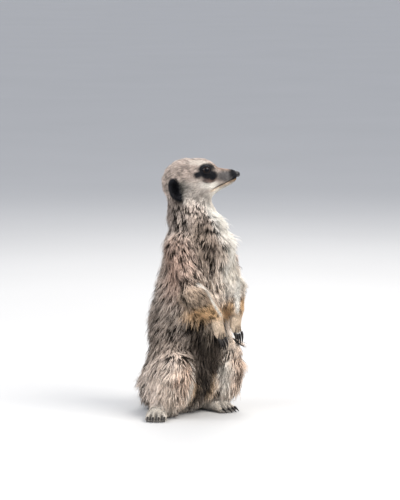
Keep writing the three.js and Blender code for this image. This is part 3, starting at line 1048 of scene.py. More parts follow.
    def growing(self, normals: np.ndarray, body: np.ndarray) -> np.ndarray:
        """How the hair grows at each point.

        Args:
            normals: the skin's outward directions.
            body: how far each point belongs to the long-haired parts.

        Returns:
            The hair's length, lift and width at each point, with the lift as a share of the length.
        """
        surface = self.surface
        pelts = [PELTS[family(name)] for name in self.names]
        growth = np.array([[p.length, p.lift, p.width] for p in pelts])[self.nearest]
        growth = surface.even(surface.even(growth, 34), 40, 0.7 * body)
        growth = surface.even(growth, 110, 0.7 * self.share({"neck"}, 30)[:, None])
        growth *= 1 + self.elbows()[:, None] * np.array([1.1, 0.3, 0.45])
        length, lift, width = growth.T
        trunk = self.places.middle("trunk")
        lift *= 1 - 0.6 * self.share({"thigh"}) * smoothstep(0.0, 0.6, normals[:, 2])
        low = smoothstep(30, 12, surface.points[:, 2] / MM)
        length *= 1 + 0.35 * low * self.share({"shank", "thigh"})
        ahead, _, up = self.places.in_head(surface.points).T
        muzzle = self.share({"head", "jaw"}, 2) * smoothstep(14, 34, ahead)
        length *= 1 - 0.5 * muzzle
        width *= 1 - 0.3 * muzzle
        length *= 1 + 0.9 * np.exp(-(((ahead + 5) / 3.5) ** 2) - ((up + 4) / 8) ** 2)  # tuft before the ear
        breast = smoothstep(-22, -38, (surface.points[:, 1] - trunk[1]) / MM)
        lift *= 1 + 0.35 * self.share({"trunk", "neck"}) * breast
        for side in Side:
            away = self.away(self.places.middle(f"eye_{side.word}"))
            length *= 0.45 + 0.55 * smoothstep(7, 14, away)
        fringe = self.share({"forearm"}) * (surface.points[:, 0] > trunk[0])
        fringe *= smoothstep(0.1, 0.8, -normals[:, 0])
        length *= 1 + 0.9 * fringe
        lift *= 1 + 0.8 * fringe
        return growth

    def haired(self) -> np.ndarray:
        """How thickly hair grows at each point, from nought on bare skin to one.

        Returns:
            One number for each point.
        """
        at = self.places.middle
        hair = smoothstep(4.6, 5.4, self.away(at("nose"))) * smoothstep(0.2, 0.55, self.mouth_line()[0])
        for side in Side:
            hair *= smoothstep(6.0, 7.4, self.away(at(f"eye_{side.word}")))
        for node in frame["nodes"]:
            if node.startswith("claw_"):
                hair *= smoothstep(2.6, 4.4, self.away(at(node)))
        return hair * smoothstep(0.6, 2.0, self.surface.points[:, 2] / MM) * (1 - 0.85 * self.toe_gaps())

    def away(self, spot: np.ndarray) -> np.ndarray:
        """How far each point is from a spot, in millimetres."""
        return np.linalg.norm(self.surface.points - spot, axis=1) / MM

    def comb(self) -> None:
        """Keeps on the skin the markings, the lie of the hair and its growth."""
        surface = self.surface
        normals = surface.normals()
        body = self.share({"trunk", "neck", "thigh", "shank", "upper_arm"})[:, None]
        lie = surface.even(surface.even(self.heading(), 16), 70, 0.7 * body)
        lie -= normals * np.sum(lie * normals, axis=1, keepdims=True)
        lie = unit(surface.even(unit(lie), 8))
        colours = Markings(self.places).colours(self)
        short = np.clip(self.share({"head", "jaw", "nose", "eye", "ear", "hand", "foot"}, 60), 0, 1)
        short = np.maximum(short, 0.5 * self.share({"forearm"}, 40) * (1 - self.elbows()))
        self.keep("markings", "FLOAT_COLOR", np.column_stack([colours, short]))
        self.keep("lie", "FLOAT_VECTOR", lie)
        self.keep("growth", "FLOAT_VECTOR", self.growing(normals, body))
        self.keep("cover", "FLOAT", self.haired())

    def keep(self, name: str, kind: str, values: np.ndarray) -> None:
        """Stores values at the points as an attribute.

        Args:
            name: the attribute's name.
            kind: its data type.
            values: one row for each point.
        """
        attribute = self.object.data.attributes.new(name, kind, "POINT")
        slot = {"FLOAT_COLOR": "color", "FLOAT_VECTOR": "vector", "FLOAT": "value"}[kind]
        attribute.data.foreach_set(slot, np.ascontiguousarray(values, dtype=np.float32).ravel())

    def dress(self) -> None:
        """Gives the skin its finish and lets it stand for the flesh."""
        self.object.data.materials.clear()
        self.object.data.materials.append(Underfur().material())
        for name in ("lie", "growth", "cover"):
            self.object.data.attributes.remove(self.object.data.attributes[name])
        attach(self.object, ROOT_BODY)
        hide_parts(*(n for n in self.flesh() if family(n) not in ("eye", "nose")))


# ------------------------------------------------------------------ finishes


def new_material(
    name: str, roughness: float, gloss: float = 0.5
) -> tuple[bpy.types.Material, Net, bpy.types.Node]:
    """A material without a colour yet.

    Args:
        name: the material's name.
        roughness: how dull it is.
        gloss: how much it reflects.

    Returns:
        The material, its net and its shader.
    """
    material = bpy.data.materials.new(name)
    material.use_nodes = True
    tree = material.node_tree
    tree.nodes.clear()
    shader = tree.nodes.new("ShaderNodeBsdfPrincipled")
    shader.inputs["Roughness"].default_value = roughness
    shader.inputs["Specular IOR Level"].default_value = gloss
    output = tree.nodes.new("ShaderNodeOutputMaterial")
    tree.links.new(shader.outputs[0], output.inputs["Surface"])
    return material, Net(tree), shader


def join(net: Net, shader: bpy.types.Node, name: str, wire: Wire) -> None:
    """Links a wire to one of the shader's sockets."""
    net.tree.links.new(wire.socket, shader.inputs[name])


@dataclass(frozen=True)
class Underfur:
    """The skin between the locks: dark underfur in the coat's markings, with short flat hair as bump."""

    roughness: float = 0.8
    gloss: float = 0.1
    hair: float = 900.0
    mottle: float = 160.0
    bump_height: float = 0.4
    long_tone: float = 0.3
    short_tone: float = 0.5

    def material(self) -> bpy.types.Material:
        """The finish as a material.

        Returns:
            The material.
        """
        material, net, shader = new_material("underfur", self.roughness, self.gloss)
        place = net.place()
        marks = net.attribute("markings", "Color")
        fine = net.noise(place, self.hair, 3.0)
        patchy = net.noise(place, self.mottle, 2.0)
        short = net.attribute("markings", "Alpha")
        tone = (fine * 1.4 + patchy * 1.2 - 0.3).at_least(0.1) * (short * self.short_tone + self.long_tone)
        colour = net.vector("SCALE", marks, scale=tone)
        join(net, shader, "Base Color", colour)
        join(net, shader, "Normal", net.bump(fine, 0.5, self.bump_height * MM))
        return material


@dataclass(frozen=True)
class Fur:
    """Grizzled hair: each lock is dark at the root and pale further out, and some are dark all along.

    Each pair holds a value for long body hair and one for the short hair of the face and paws. Where the
    markings are pale the hair is more even. The palest long hair is frosted with grey.
    """

    root: tuple[float, float] = (0.10, 0.5)
    middle: tuple[float, float] = (3.1, 1.5)
    tip: tuple[float, float] = (2.5, 1.35)
    dark_share: tuple[float, float] = (0.50, 0.24)
    dark_tone: tuple[float, float] = (0.07, 0.42)
    evenness: float = 0.88
    palest: float = 0.86
    frost: float = 0.18
    roughness: float = 0.6
    gloss: float = 0.1

    def material(self, name: str) -> bpy.types.Material:
        """The finish as a material.

        Args:
            name: the material's name.

        Returns:
            The material.
        """
        material, net, shader = new_material(name, self.roughness, self.gloss)
        marks = net.attribute("markings", "Color")
        short = net.attribute("markings", "Alpha")
        along = net.attribute("along")
        chance = net.attribute("chance")

        def fade(pair: tuple[float, float]) -> Wire:
            """Goes from the long hair's value to the short hair's."""
            return short * (pair[1] - pair[0]) + pair[0]

        light = net.vector("DOT_PRODUCT", marks, (0.4, 0.4, 0.2))
        calm = light.step(0.26, 0.52) * self.evenness
        root, middle = fade(self.root), fade(self.middle)
        band = root + along.step(0.08, 0.5) * (middle - root)
        band = band + along.step(0.7, 1.0) * (fade(self.tip) - middle)
        pale = (chance - fade(self.dark_share)).step(-0.06, 0.06)
        dark = fade(self.dark_tone)
        tone = band * (chance * 0.8 + 0.45) * (pale * (1 - dark) + dark)
        even = along.step(0.0, 0.4) * 0.5 + chance * 0.4 + 0.5
        tone = tone + (even - tone) * calm
        red = net.vector("DOT_PRODUCT", marks, (1.0, 0.0, 0.0))
        tone = tone.at_most(self.palest / red.at_least(0.01))
        grey = net.vector("SCALE", (1.0, 0.96, 0.92), scale=tone * light)
        frost = tone.step(0.8, 2.4) * (1 - short) * self.frost
        join(net, shader, "Base Color", net.mix(frost, net.vector("SCALE", marks, scale=tone), grey))
        return material


@dataclass(frozen=True)
class EyeGlaze:
    """A wet dark-brown iris with a black pupil and rim."""

    iris: Colour = (0.014, 0.007, 0.0045)
    pupil: Colour = (0.001, 0.001, 0.002)
    pupil_edge: float = 0.46
    iris_edge: float = 0.80
    fibres: float = 2400.0
    roughness: float = 0.08
    gloss: float = 0.13

    def material(self) -> bpy.types.Material:
        """The finish as a material.

        Returns:
            The material.
        """
        material, net, shader = new_material("eye_glaze", self.roughness, self.gloss)
        off = net.attribute("off_axis")
        place = net.place()
        fibres = net.noise(place, self.fibres, 2.0)
        rim = off.step(self.iris_edge - 0.1, self.iris_edge)
        ring = off.step(self.pupil_edge, self.pupil_edge + 0.06) * (1 - rim)
        colour = net.mix(ring * (fibres * 0.9 + 0.4), (*self.pupil, 1), (*self.iris, 1))
        join(net, shader, "Base Color", colour)
        return material


@dataclass(frozen=True)
class Horn:
    """Dark horn or bare hide, a little paler where it is thin or worn."""

    name: str
    dark: Colour
    pale: Colour
    scale: float
    roughness: float
    bump: float
    bump_height: float = 0.3
    gloss: float = 0.22

    def material(self) -> bpy.types.Material:
        """The finish as a material.

        Returns:
            The material.
        """
        material, net, shader = new_material(self.name, self.roughness, self.gloss)
        place = net.place()
        grain = net.noise(place, self.scale, 3.0)
        values = {"Vector": place, "Scale": self.scale * 2.4}
        cells = net.node("ShaderNodeTexVoronoi", values=values, output="Distance")
        join(net, shader, "Base Color", net.mix(grain.step(0.3, 0.7), (*self.dark, 1), (*self.pale, 1)))
        join(net, shader, "Normal", net.bump(grain * 0.5 + cells, self.bump, self.bump_height * MM))
        join(net, shader, "Roughness", grain * 0.2 + (self.roughness - 0.1))
        return material


# ------------------------------------------------------------------ coat


# A tree that grows a coat, with the identifiers of its inputs
Grower = tuple[bpy.types.NodeTree, dict[str, str]]


@dataclass(frozen=True)
class CoatTree:
    """The geometry tree that grows locks of fur on a skin."""

    lock: Lock
    root_depth: float = 0.022
    flatness: float = 0.5
    floor_gap: float = 0.3
    packing: float = 2.2

    def add_inputs(self, net: Net) -> dict[str, str]:
        """Adds the tree's named inputs.

        Args:
            net: the empty tree.

        Returns:
            The identifier of each input's socket.
        """
        kinds = {
            "Skin": "NodeSocketGeometry",
            "Spacing": "NodeSocketFloat",
            "Seed": "NodeSocketInt",
            "Sway": "NodeSocketFloat",
            "Clump": "NodeSocketFloat",
            "Ruffle": "NodeSocketFloat",
            "Tuft": "NodeSocketFloat",
            "Gather": "NodeSocketFloat",
            "Patch": "NodeSocketFloat",
            "Finish": "NodeSocketMaterial",
        }
        sockets = {}
        for name, kind in kinds.items():
            sockets[name] = net.tree.interface.new_socket(name, in_out="INPUT", socket_type=kind).identifier
        net.tree.interface.new_socket("Coat", in_out="OUTPUT", socket_type="NodeSocketGeometry")
        return sockets

    def one_lock(self, net: Net) -> Wire:
        """A three-sided lock of length one along Z, with its length and its patch as attributes.

        Args:
            net: the tree that is filled.

        Returns:
            The lock's geometry.
        """
        values = {"Vertices": 3, "Side Segments": self.lock.value, "Radius Top": 0.0, "Depth": 1.0}
        cone = net.node("GeometryNodeMeshCone", {"fill_type": "NGON"}, values | {"Radius Bottom": 1.0})
        place = net.node("GeometryNodeInputPosition")
        across, _, height = net.parts(place)
        cone = net.store(cone, "along", height)
        cone = net.store(cone, "patch", net.combine(across * 0.5, height - 0.5, 0.0), "FLOAT_VECTOR")
        belly = height * (2.1 if self.lock is Lock.LONG else 1.3) + 0.8
        shaped = net.vector("MULTIPLY", place, net.combine(belly, belly * self.flatness, 1.0))
        return net.node("GeometryNodeSetPosition", values={"Geometry": cone, "Position": shaped})

    def build(self) -> Grower:
        """Makes the tree.

        Returns:
            The tree and the identifiers of its inputs.
        """
        net = Net(bpy.data.node_groups.new(f"coat_{self.lock.name.lower()}", "GeometryNodeTree"))
        sockets = self.add_inputs(net)
        entry = net.tree.nodes.new("NodeGroupInput")
        given = {name: Wire(net, entry.outputs[name]) for name in sockets}
        points = self.scatter(net, given, "Spacing", {"Density Factor": net.read("cover")})
        normal = Wire(net, points.socket.node.outputs["Normal"])
        length, lift, width = net.parts(net.read("growth", "FLOAT_VECTOR"))
        place = net.node("GeometryNodeInputPosition")

        def chance(seed: int, low: float, high: float) -> Wire:
            """A number for each lock, evenly spread between two bounds."""
            return net.node("FunctionNodeRandomValue", values={2: low, 3: high, "Seed": seed})

        def wave(scale: float, offset: tuple[float, float, float]) -> Wire:
            """A slow vector noise over the body, about nought, with the clump size times scale."""
            shifted = net.vector("ADD", net.vector("SCALE", place, scale=scale / given["Clump"]), offset)
            return net.vector("SUBTRACT", net.noise(shifted, 1.0, 1.0, "Color"), (0.5, 0.5, 0.5))

        wild = net.combine(*(chance(seed, -1, 1) for seed in (2, 3, 4)))
        finer = net.vector("SCALE", wave(2.6, (1.3, 5.7, 2.2)), scale=0.6)
        swirl = net.vector("ADD", wave(1.0, (3.1, 0.7, 9.2)), finer)
        bent = net.vector("SCALE", swirl, scale=given["Ruffle"])
        loose = net.vector("SCALE", wild, scale=given["Sway"])
        heading = net.vector("ADD", net.vector("ADD", net.read("lie", "FLOAT_VECTOR"), bent), loose)
        heading = net.vector("SUBTRACT", heading, net.vector("PROJECT", heading, normal))
        heading = net.vector("NORMALIZE", heading)
        aside = net.vector("CROSS_PRODUCT", heading, normal)
        lifted = net.parts(wave(0.7, (7.0, 4.0, 1.0)))[0]
        stray = chance(7, 0, 1) ** 6
        shape = net.store(points, "root_normal", normal, "FLOAT_VECTOR")
        shape = net.store(shape, "root_aside", aside, "FLOAT_VECTOR")
        long = length * chance(5, 0.72, 1.18) * MM
        shape = net.store(shape, "root_length", long)
        shape = net.store(shape, "root_sway", chance(8, -0.16, 0.16))
        streak = net.parts(wave(4.2, (9.0, 2.0, 4.0)))[1]
        shape = self.tuft(net, shape, given)
        luck = net.read("tuft_chance")
        lay = chance(6, 0.55, 1.1) + lifted * 1.1 + stray * 0.9 + luck * 0.55 - 0.25
        shape = net.store(shape, "root_lift", lift * lay)
        shape = net.store(shape, "chance", luck * 0.75 + chance(9, 0.0, 0.45) + streak * 0.8)
        turn = net.node(
            "FunctionNodeAxesToRotation",
            {"primary_axis": "Z", "secondary_axis": "Y"},
            {"Primary Axis": heading, "Secondary Axis": normal},
        )
        wide = width * chance(10, 0.75, 1.25) * MM
        size = net.combine(wide, wide, long)
        values = {"Points": shape, "Instance": self.one_lock(net), "Rotation": turn, "Scale": size}
        shape = net.node("GeometryNodeInstanceOnPoints", values=values)
        shape = net.node("GeometryNodeRealizeInstances", values={"Geometry": shape})
        shape = self.curl(net, shape)
        patch = net.vector("SCALE", net.read("patch", "FLOAT_VECTOR"), scale=given["Patch"])
        spot = net.vector("ADD", net.read("root_place", "FLOAT_VECTOR"), patch)
        shape = net.store(shape, "OFBake", spot, "FLOAT2", "CORNER")
        shape = net.node("GeometryNodeSetShadeSmooth", values={"Geometry": shape})
        shape = net.node("GeometryNodeSetMaterial", values={"Geometry": shape, "Material": given["Finish"]})
        leave = net.tree.nodes.new("NodeGroupOutput")
        net.tree.links.new(shape.socket, leave.inputs[0])
        return net.tree, sockets

    def tuft(self, net: Net, shape: Wire, given: dict[str, Wire]) -> Wire:
        """Gives each lock its tuft: the way to the tuft's middle and the tuft's own chance.

        Args:
            net: the tree.
            shape: the roots of the locks.
            given: the tree's inputs.

        Returns:
            The roots with their tufts.
        """
        middles = self.scatter(net, given, "Tuft", {})
        place = net.node("GeometryNodeInputPosition")
        near = net.node("GeometryNodeSampleNearest", {"domain": "POINT"}, {"Geometry": middles})
        wanted = {"Geometry": middles, "Value": place, "Index": near}
        middle = net.node("GeometryNodeSampleIndex", {"data_type": "FLOAT_VECTOR"}, wanted)
        luck = net.node("FunctionNodeRandomValue", values={2: 0.0, 3: 1.0, "ID": near, "Seed": 12})
        pull = net.vector("SCALE", net.vector("SUBTRACT", middle, place), scale=given["Gather"])
        shape = net.store(shape, "tuft_pull", pull, "FLOAT_VECTOR")
        return net.store(shape, "tuft_chance", luck)

    def curl(self, net: Net, shape: Wire) -> Wire:
        """Bends each lock out from the skin and back along it, gathers tufts and keeps off the floor.

        Args:
            net: the tree that is filled.
            shape: the straight locks.

        Returns:
            The bent locks.
        """
        along = net.read("along")
        length = net.read("root_length")
        out = (1 - (1 - along) ** 2) * net.read("root_lift") * length - self.root_depth * length
        side = along * along * net.read("root_sway") * length
        offset = net.vector(
            "ADD",
            net.vector("SCALE", net.read("root_normal", "FLOAT_VECTOR"), scale=out),
            net.vector("SCALE", net.read("root_aside", "FLOAT_VECTOR"), scale=side),
        )
        gathered = net.vector("SCALE", net.read("tuft_pull", "FLOAT_VECTOR"), scale=along**1.5)
        offset = net.vector("ADD", offset, gathered)
        shape = net.node("GeometryNodeSetPosition", values={"Geometry": shape, "Offset": offset})
        x, y, z = net.parts(net.node("GeometryNodeInputPosition"))
        above = net.combine(x, y, z.at_least(self.floor_gap * MM))
        return net.node("GeometryNodeSetPosition", values={"Geometry": shape, "Position": above})

    def scatter(self, net: Net, given: dict[str, Wire], spacing: str, more: dict[str, Wire]) -> Wire:
        """Points over the skin, no closer to each other than a spacing.

        Args:
            net: the tree.
            given: the tree's inputs.
            spacing: the name of the input that holds the spacing.
            more: what else the node is given.

        Returns:
            The points.
        """
        apart = given[spacing]
        densest = self.packing / (apart * apart)
        values = {"Mesh": given["Skin"], "Distance Min": apart, "Density Max": densest, "Seed": given["Seed"]}
        settings = {"distribute_method": "POISSON"}
        return net.node("GeometryNodeDistributePointsOnFaces", settings, values | more)


@dataclass(frozen=True)
class CoatPiece:
    """One piece of the coat: the locks that grow on one region of the skin."""

    name: str
    families: frozenset[str]
    lock: Lock
    spacing: float
    sway: float
    ruffle: float
    clump: float
    seed: int
    slot: str
    tuft: float = 2.3
    gather: float = 0.65
    side: Side | None = None
    zone: Callable[[np.ndarray], np.ndarray] | None = None
    patch: float = 0.003

    def covers(self, node: str) -> bool:
        """True for a node of the piece's parts of the body, on its side where it has one."""
        return family(node) in self.families and (self.side is None or node.endswith(self.side.word))

    def chosen(self, skin: Skin) -> np.ndarray:
        """The numbers of the skin's faces that this piece grows on.

        Args:
            skin: the finished skin.

        Returns:
            The numbers of the faces, in order.
        """
        mesh = skin.object.data
        first = np.empty(len(mesh.polygons), dtype=np.int32)
        mesh.polygons.foreach_get("loop_start", first)
        corner = np.empty(len(mesh.loops), dtype=np.int32)
        mesh.loops.foreach_get("vertex_index", corner)
        nodes = skin.nearest[corner[first]]
        fits = np.array([self.covers(name) for name in skin.names])[nodes]
        if self.zone is not None:
            fits &= self.zone(skin.surface.points[corner[first]] / MM)
        return np.flatnonzero(fits)

    def scalp(self, skin: Skin) -> bpy.types.Object:
        """A copy of the skin's region, unwrapped by its own shape.

        Args:
            skin: the finished skin.

        Returns:
            The region as an object, with its unwrap as an attribute.
        """
        wanted = set(self.chosen(skin).tolist())
        work = bmesh.new()
        work.from_mesh(skin.object.data)
        gone = [f for f in work.faces if f.index not in wanted]
        bmesh.ops.delete(work, geom=gone, context="FACES")
        mesh = finished(work, self.name)
        scalp = placed(self.name, mesh)
        mesh.uv_layers.new(name="unwrap")
        for other in bpy.context.view_layer.objects:
            other.select_set(other == scalp)
        bpy.context.view_layer.objects.active = scalp
        bpy.ops.object.mode_set(mode="EDIT")
        bpy.ops.mesh.select_all(action="SELECT")
        bpy.ops.uv.smart_project(angle_limit=1.15, island_margin=0.004)
        bpy.ops.object.mode_set(mode="OBJECT")
        scalp.select_set(False)
        flat = np.empty(len(mesh.loops) * 2, dtype=np.float32)
        mesh.uv_layers["unwrap"].data.foreach_get("uv", flat)
        spots = flat.reshape(-1, 2) * 0.994 + 0.003
        mesh.uv_layers.remove(mesh.uv_layers["unwrap"])
        flat = np.column_stack([spots, np.zeros(len(spots))]).astype(np.float32).ravel()
        mesh.attributes.new("root_place", "FLOAT_VECTOR", "CORNER").data.foreach_set("vector", flat)
        return scalp

    def build(self, skin: Skin, trees: dict[Lock, Grower]) -> bpy.types.Object:
        """Grows the piece.

        Args:
            skin: the finished skin.
            trees: the coat's geometry tree for each kind of lock.

        Returns:
            The locks as one plain mesh.
        """
        scalp = self.scalp(skin)
        tree, sockets = trees[self.lock]
        modifier = scalp.modifiers.new("coat", "NODES")
        modifier.node_group = tree
        given = {
            "Spacing": self.spacing * MM,
            "Seed": self.seed,
            "Sway": self.sway,
            "Clump": self.clump * MM,
            "Ruffle": self.ruffle,
            "Tuft": self.tuft * MM,
            "Gather": self.gather,
            "Patch": self.patch,
            "Finish": Fur().material(f"fur_{self.name}"),
        }
        for name, value in given.items():
            modifier[sockets[name]] = value
        mesh = evaluated(scalp)
        bpy.data.objects.remove(scalp)
        mesh.name = self.name
        kept = {"position", "markings", "along", "chance", "OFBake", "material_index", "sharp_face"}
        for name in [a.name for a in mesh.attributes]:
            if name not in kept and not name.startswith("."):
                mesh.attributes.remove(mesh.attributes[name])
        return placed(self.name, mesh)

    def dress(self, made: bpy.types.Object) -> None:
        """Lets the finished piece ride on the body."""
        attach(made, ROOT_BODY)


def coat_plan(places: Places) -> list[CoatPiece]:
    """The pieces of the coat, which share out the whole skin.

    Args:
        places: the places of the parts.

    Returns:
        The pieces, each with its own region.
    """
    middle = places.middle("trunk") / MM
    waist = middle[2]
    head, limbs = frozenset({"head", "jaw", "ear", "eye", "nose"}), frozenset({"thigh", "shank"})
    trunk = frozenset({"trunk"})
    tail = frozenset({"tail_base", "tail_middle", "tail_tip"})
    long, short = Lock.LONG, Lock.SHORT

    def back(p: np.ndarray) -> np.ndarray:
        """True behind the trunk's middle."""
        return p[:, 1] > middle[1] - 2

    def muzzle(p: np.ndarray) -> np.ndarray:
        """True in front of the eyes."""
        return places.in_head(p * MM)[:, 0] > 17

    def piece(
        name: str, on: frozenset[str], lock: Lock, spacing: float, seed: int, slot: str, **more: object
    ) -> CoatPiece:
        """One piece, with the ruffle and clumps of the body's coat unless it has its own."""
        ways = {"sway": 0.2, "ruffle": 1.0, "clump": 9.0} | more
        return CoatPiece(f"coat_{name}", on, lock, spacing, seed=seed, slot=slot, **ways)

    calm = {"sway": 0.22, "ruffle": 0.5, "clump": 6.0, "tuft": 2.4, "gather": 0.35}
    return [
        piece("muzzle", head, short, 0.44, 10, "face", zone=muzzle, **calm),
        piece("head", head, short, 0.52, 11, "face", zone=lambda p: ~muzzle(p), **calm),
        piece("neck", frozenset({"neck"}), long, 0.62, 12, "body", ruffle=0.6, tuft=2.6, gather=0.6),
        piece("back", trunk, long, 0.66, 13, "body", zone=lambda p: back(p) & (p[:, 2] > waist)),
        piece("rump", trunk, long, 0.66, 14, "body", zone=lambda p: back(p) & (p[:, 2] <= waist)),
        piece("breast", trunk, long, 0.66, 15, "body", zone=lambda p: ~back(p) & (p[:, 2] > waist)),
        piece("belly", trunk, long, 0.68, 16, "body", zone=lambda p: ~back(p) & (p[:, 2] <= waist)),
        piece("upper_arms", frozenset({"upper_arm"}), long, 0.66, 17, "body"),
        piece("forearms", frozenset({"forearm", "hand"}), short, 0.5, 21, "paw", **calm),
        piece("feet", frozenset({"foot"}), short, 0.48, 22, "paw", **calm),
        piece("leg_left", limbs, long, 0.68, 18, "body", side=Side.LEFT),
        piece("leg_right", limbs, long, 0.68, 19, "body", side=Side.RIGHT),
        piece("tail", tail, long, 0.74, 20, "body", ruffle=0.5, tuft=2.6, gather=0.45),
    ]


# ------------------------------------------------------------------ eyes, nose and claws


@dataclass
class Eye:
    """An eyeball with a clear bulge over the iris, looking out of the side of the head."""

    places: Places
    side: Side
    radius: float = 5.2
    bulge: float = 0.35
    segments: int = 48
    rings: int = 32

    @staticmethod
    def gaze(places: Places, side: Side) -> np.ndarray:
        """The way an eye looks."""
        return unit(side.value * places.left + 0.34 * places.ahead + 0.10 * UP)

    def build(self) -> bpy.types.Object:
        """Makes the eyeball, with the angle off its axis as an attribute.

        Returns:
            The eyeball.
        """
        work = bmesh.new()
        bmesh.ops.create_uvsphere(work, u_segments=self.segments, v_segments=self.rings, radius=1.0)
        centre = self.places.middle(f"eye_{self.side.word}")
        turn = Vector((0, 0, 1)).rotation_difference(Vector(self.gaze(self.places, self.side)))
        work.verts.ensure_lookup_table()
        angles = np.array([math.acos(max(-1.0, min(1.0, v.co.z))) for v in work.verts])
        for vert, angle in zip(work.verts, angles):
            reach = self.radius + self.bulge * (1 - float(smoothstep(0.35, 0.95, np.array(angle))))
            vert.co = Vector(centre) + turn @ vert.co * reach * MM
        mesh = finished(work, f"eyeball_{self.side.word}")
        mesh.attributes.new("off_axis", "FLOAT", "POINT").data.foreach_set("value", angles.astype(np.float32))
        shade_smooth(mesh)
        self.object = placed(mesh.name, mesh)
        return self.object

    def dress(self) -> None:
        """Glazes the eye and lets it stand for its node."""
        self.object.data.materials.append(EyeGlaze().material())
        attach(self.object, ROOT_BODY)
        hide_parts(f"eye_{self.side.word}")


@dataclass
class Nose:
    """The bare nose pad over the tip of the muzzle, with comma-shaped nostrils and a groove under them."""

    places: Places
    heart: tuple[float, float, float] = (45.6, 0.0, 9.2)
    reach: float = 4.0
    proud: float = 0.3
    tuck: float = 0.6
    nostril_depth: float = 1.7
    slit_depth: float = 0.9
    groove_depth: float = 0.5

    def build(self, skin: Skin) -> bpy.types.Object:
        """Makes the nose.

        Args:
            skin: the finished skin, which the pad follows.

        Returns:
            The pad. Outside its edge it dips under the skin.
        """
        corners = [Vector(p) for p in skin.surface.points]
        tree = BVHTree.FromPolygons(corners, skin.surface.triangles.tolist())
        work = bmesh.new()
        bmesh.ops.create_uvsphere(work, u_segments=96, v_segments=64, radius=1.0)
        heart = Vector(self.places.on_head(*self.heart))
        ways = np.array([v.co for v in work.verts])
        axes = np.stack([self.places.ahead, self.places.left, UP])
        ways = ways @ axes
        reach = np.array([tree.ray_cast(heart, Vector(way))[3] or self.reach * MM for way in ways]) / MM
        reach = np.minimum(reach, self.reach + 2.0 * smoothstep(-0.3, 0.3, ways @ self.places.ahead))
        ahead, left, up = ((ways * reach[:, None]) @ axes.T).T
        left = np.abs(left)
        inside = smoothstep(0.0, 2.0, ahead + 0.35 * up - 0.1 * left) * smoothstep(-3.8, -2.8, up)
        front = smoothstep(0.4, 1.6, ahead)
        hole = np.exp(-(((left - 2.0) / 0.85) ** 2) - ((up - 0.5) / 0.75) ** 2) * front
        slit = np.exp(-(((left - 3.3) / 1.1) ** 2) - ((up - 0.9 + 0.35 * left) / 0.42) ** 2)
        groove = np.exp(-((left / 0.32) ** 2)) * smoothstep(1.2, -0.6, up) * front
        proud = (self.proud + self.tuck) * inside - self.tuck
        dent = np.maximum(self.nostril_depth * hole, self.slit_depth * slit * inside)
        dent += self.groove_depth * groove
        for vert, way, length in zip(work.verts, ways, reach + proud - dent):
            vert.co = heart + Vector(way) * float(length) * MM
        self.object = placed("nose_pad", finished(work, "nose_pad"))
        shade_smooth(self.object.data)
        return self.object

    def dress(self) -> None:
        """Finishes the nose and lets it stand for its node."""
        hide = Horn("nose_hide", (0.010, 0.009, 0.009), (0.040, 0.037, 0.035), 1500, 0.36, 0.35)
        self.object.data.materials.append(hide.material())
        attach(self.object, ROOT_BODY)
        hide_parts("nose")


@dataclass
class Claws:
    """The claws, rounded from the frame's solids."""

    places: Places
    rounding: int = 2
    swell: float = 0.25

    def nodes(self) -> list[str]:
        """The frame's claws."""
        return sorted(n for n in frame["nodes"] if n.startswith("claw_"))

    def build(self) -> bpy.types.Object:
        """Makes all the claws as one piece.

        Returns:
            The piece.
        """
        work = bmesh.new()
        for name in self.nodes():
            work.from_mesh(frame["nodes"][name].data)
        bmesh.ops.remove_doubles(work, verts=work.verts, dist=WELD)
        work.normal_update()
        for vert in work.verts:
            vert.co += vert.normal * self.swell * MM
        self.object = placed("claws", finished(work, "claws"))
        rounded = self.object.modifiers.new("rounded", "SUBSURF")
        rounded.levels = rounded.render_levels = self.rounding
        plain = evaluated(self.object)
        self.object.modifiers.clear()
        self.object.data = plain
        plain.materials.clear()
        shade_smooth(plain)
        return self.object

    def dress(self) -> None:
        """Finishes the claws and lets them stand for their nodes."""
        horn = Horn("claw_horn", (0.006, 0.005, 0.005), (0.024, 0.019, 0.016), 700, 0.36, 0.12)
        self.object.data.materials.append(horn.material())
        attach(self.object, ROOT_BODY)
        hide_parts(*self.nodes())


# ------------------------------------------------------------------ studio


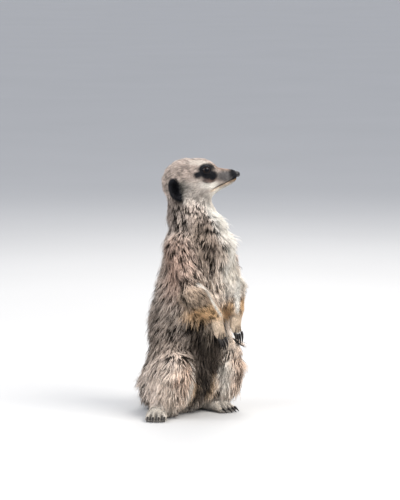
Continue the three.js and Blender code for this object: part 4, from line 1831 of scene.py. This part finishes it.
@dataclass
class Studio:
    """A plain pale floor, soft lights and the camera."""

    places: Places
    distance: float = 2.8
    azimuth: float = -45.0
    elevation: float = 7.0
    height_in_view: float = 510.0
    aim_ahead: float = 7.2
    aim_height: float = 166.5
    sensor: float = 36.0
    light_distance: float = 1.6

    def look(self, azimuth: float, elevation: float) -> np.ndarray:
        """The way from the animal to something seen at two angles, in degrees.

        Args:
            azimuth: the angle round the animal.
            elevation: the angle above its level.

        Returns:
            A vector of length one.
        """
        around, rise = math.radians(azimuth), math.radians(elevation)
        level = math.cos(rise)
        return np.array([math.sin(around) * level, -math.cos(around) * level, math.sin(rise)])

    def aim(self) -> np.ndarray:
        """The point at the middle of the view."""
        aside = MM * self.aim_ahead * np.array([1.0, -1.0, 0.0])
        return self.places.brain * np.array([1, 1, 0]) + aside + MM * self.aim_height * UP

    def build_floor(self) -> bpy.types.Object:
        """Makes the floor.

        Returns:
            The floor.
        """
        work = bmesh.new()
        bmesh.ops.create_grid(work, x_segments=8, y_segments=8, size=30.0)
        floor = placed("floor", finished(work, "floor"))
        material, net, shader = new_material("floor_paint", 0.85)
        grain = net.noise(net.place(), 3.0, 2.0)
        join(net, shader, "Base Color", net.mix(grain, (0.38, 0.375, 0.365, 1), (0.41, 0.405, 0.395, 1)))
        floor.data.materials.append(material)
        return floor

    def add_light(
        self, name: str, azimuth: float, elevation: float, power: float, size: float, tint: Colour
    ) -> None:
        """Adds a soft light that points at the animal from two angles, in degrees.

        Args:
            name: the light's name.
            azimuth: the angle round the animal.
            elevation: the angle above its level.
            power: its power in watts.
            size: its width in metres.
            tint: its colour.
        """
        lamp = bpy.data.lights.new(name, "AREA")
        lamp.energy = power
        lamp.size = size
        lamp.color = tint
        holder = bpy.data.objects.new(name, lamp)
        target = Vector(self.aim())
        way = Vector(self.look(azimuth, elevation))
        holder.location = target + way * self.light_distance
        holder.rotation_euler = way.to_track_quat("Z", "Y").to_euler()
        bpy.context.scene.collection.objects.link(holder)

    def build_lights(self) -> None:
        """Makes the lights and the pale world."""
        world = bpy.data.worlds.new("studio")
        bpy.context.scene.world = world
        world.use_nodes = True
        back = world.node_tree.nodes["Background"]
        back.inputs["Color"].default_value = (0.86, 0.90, 1.0, 1)
        back.inputs["Strength"].default_value = 1.05
        self.add_light("key", 12, 46, 42, 0.9, (1.0, 0.97, 0.93))
        self.add_light("fill", -105, 34, 24, 1.2, (0.95, 0.97, 1.0))
        self.add_light("rim", 130, 42, 18, 0.8, (1.0, 0.98, 0.95))

    def build_camera(self) -> None:
        """Makes the camera."""
        lens = bpy.data.cameras.new("camera")
        lens.sensor_fit = "VERTICAL"
        lens.sensor_height = self.sensor
        lens.lens = self.sensor * self.distance / (self.height_in_view * MM)
        lens.clip_end = 100
        camera = bpy.data.objects.new("camera", lens)
        way = Vector(self.look(self.azimuth, self.elevation))
        camera.location = Vector(self.aim()) + way * self.distance
        camera.rotation_euler = way.to_track_quat("Z", "Y").to_euler()
        bpy.context.scene.collection.objects.link(camera)
        bpy.context.scene.camera = camera


# ------------------------------------------------------------------ the whole animal


def report(piece: bpy.types.Object) -> None:
    """Logs a piece with its count of faces."""
    log.info("%s: %d faces", piece.name, len(piece.data.polygons))


def main() -> None:
    """Builds and dresses the animal, part by part."""
    logging.basicConfig(level=logging.INFO, format="%(name)s: %(message)s")
    places = Places()
    bpy.context.scene.view_settings.view_transform = "Standard"
    studio = Studio(places)
    studio.build_floor()
    studio.build_lights()
    studio.build_camera()
    skin = Skin(places)
    report(skin.build())
    nose = Nose(places)
    report(nose.build(skin))
    nose.dress()
    for part in [*(Eye(places, side) for side in Side), Claws(places)]:
        report(part.build())
        part.dress()
    trees = {lock: CoatTree(lock).build() for lock in Lock}
    for piece in coat_plan(places):
        made = piece.build(skin, trees)
        piece.dress(made)
        report(made)
    skin.dress()


if __name__ == "__main__":
    main()
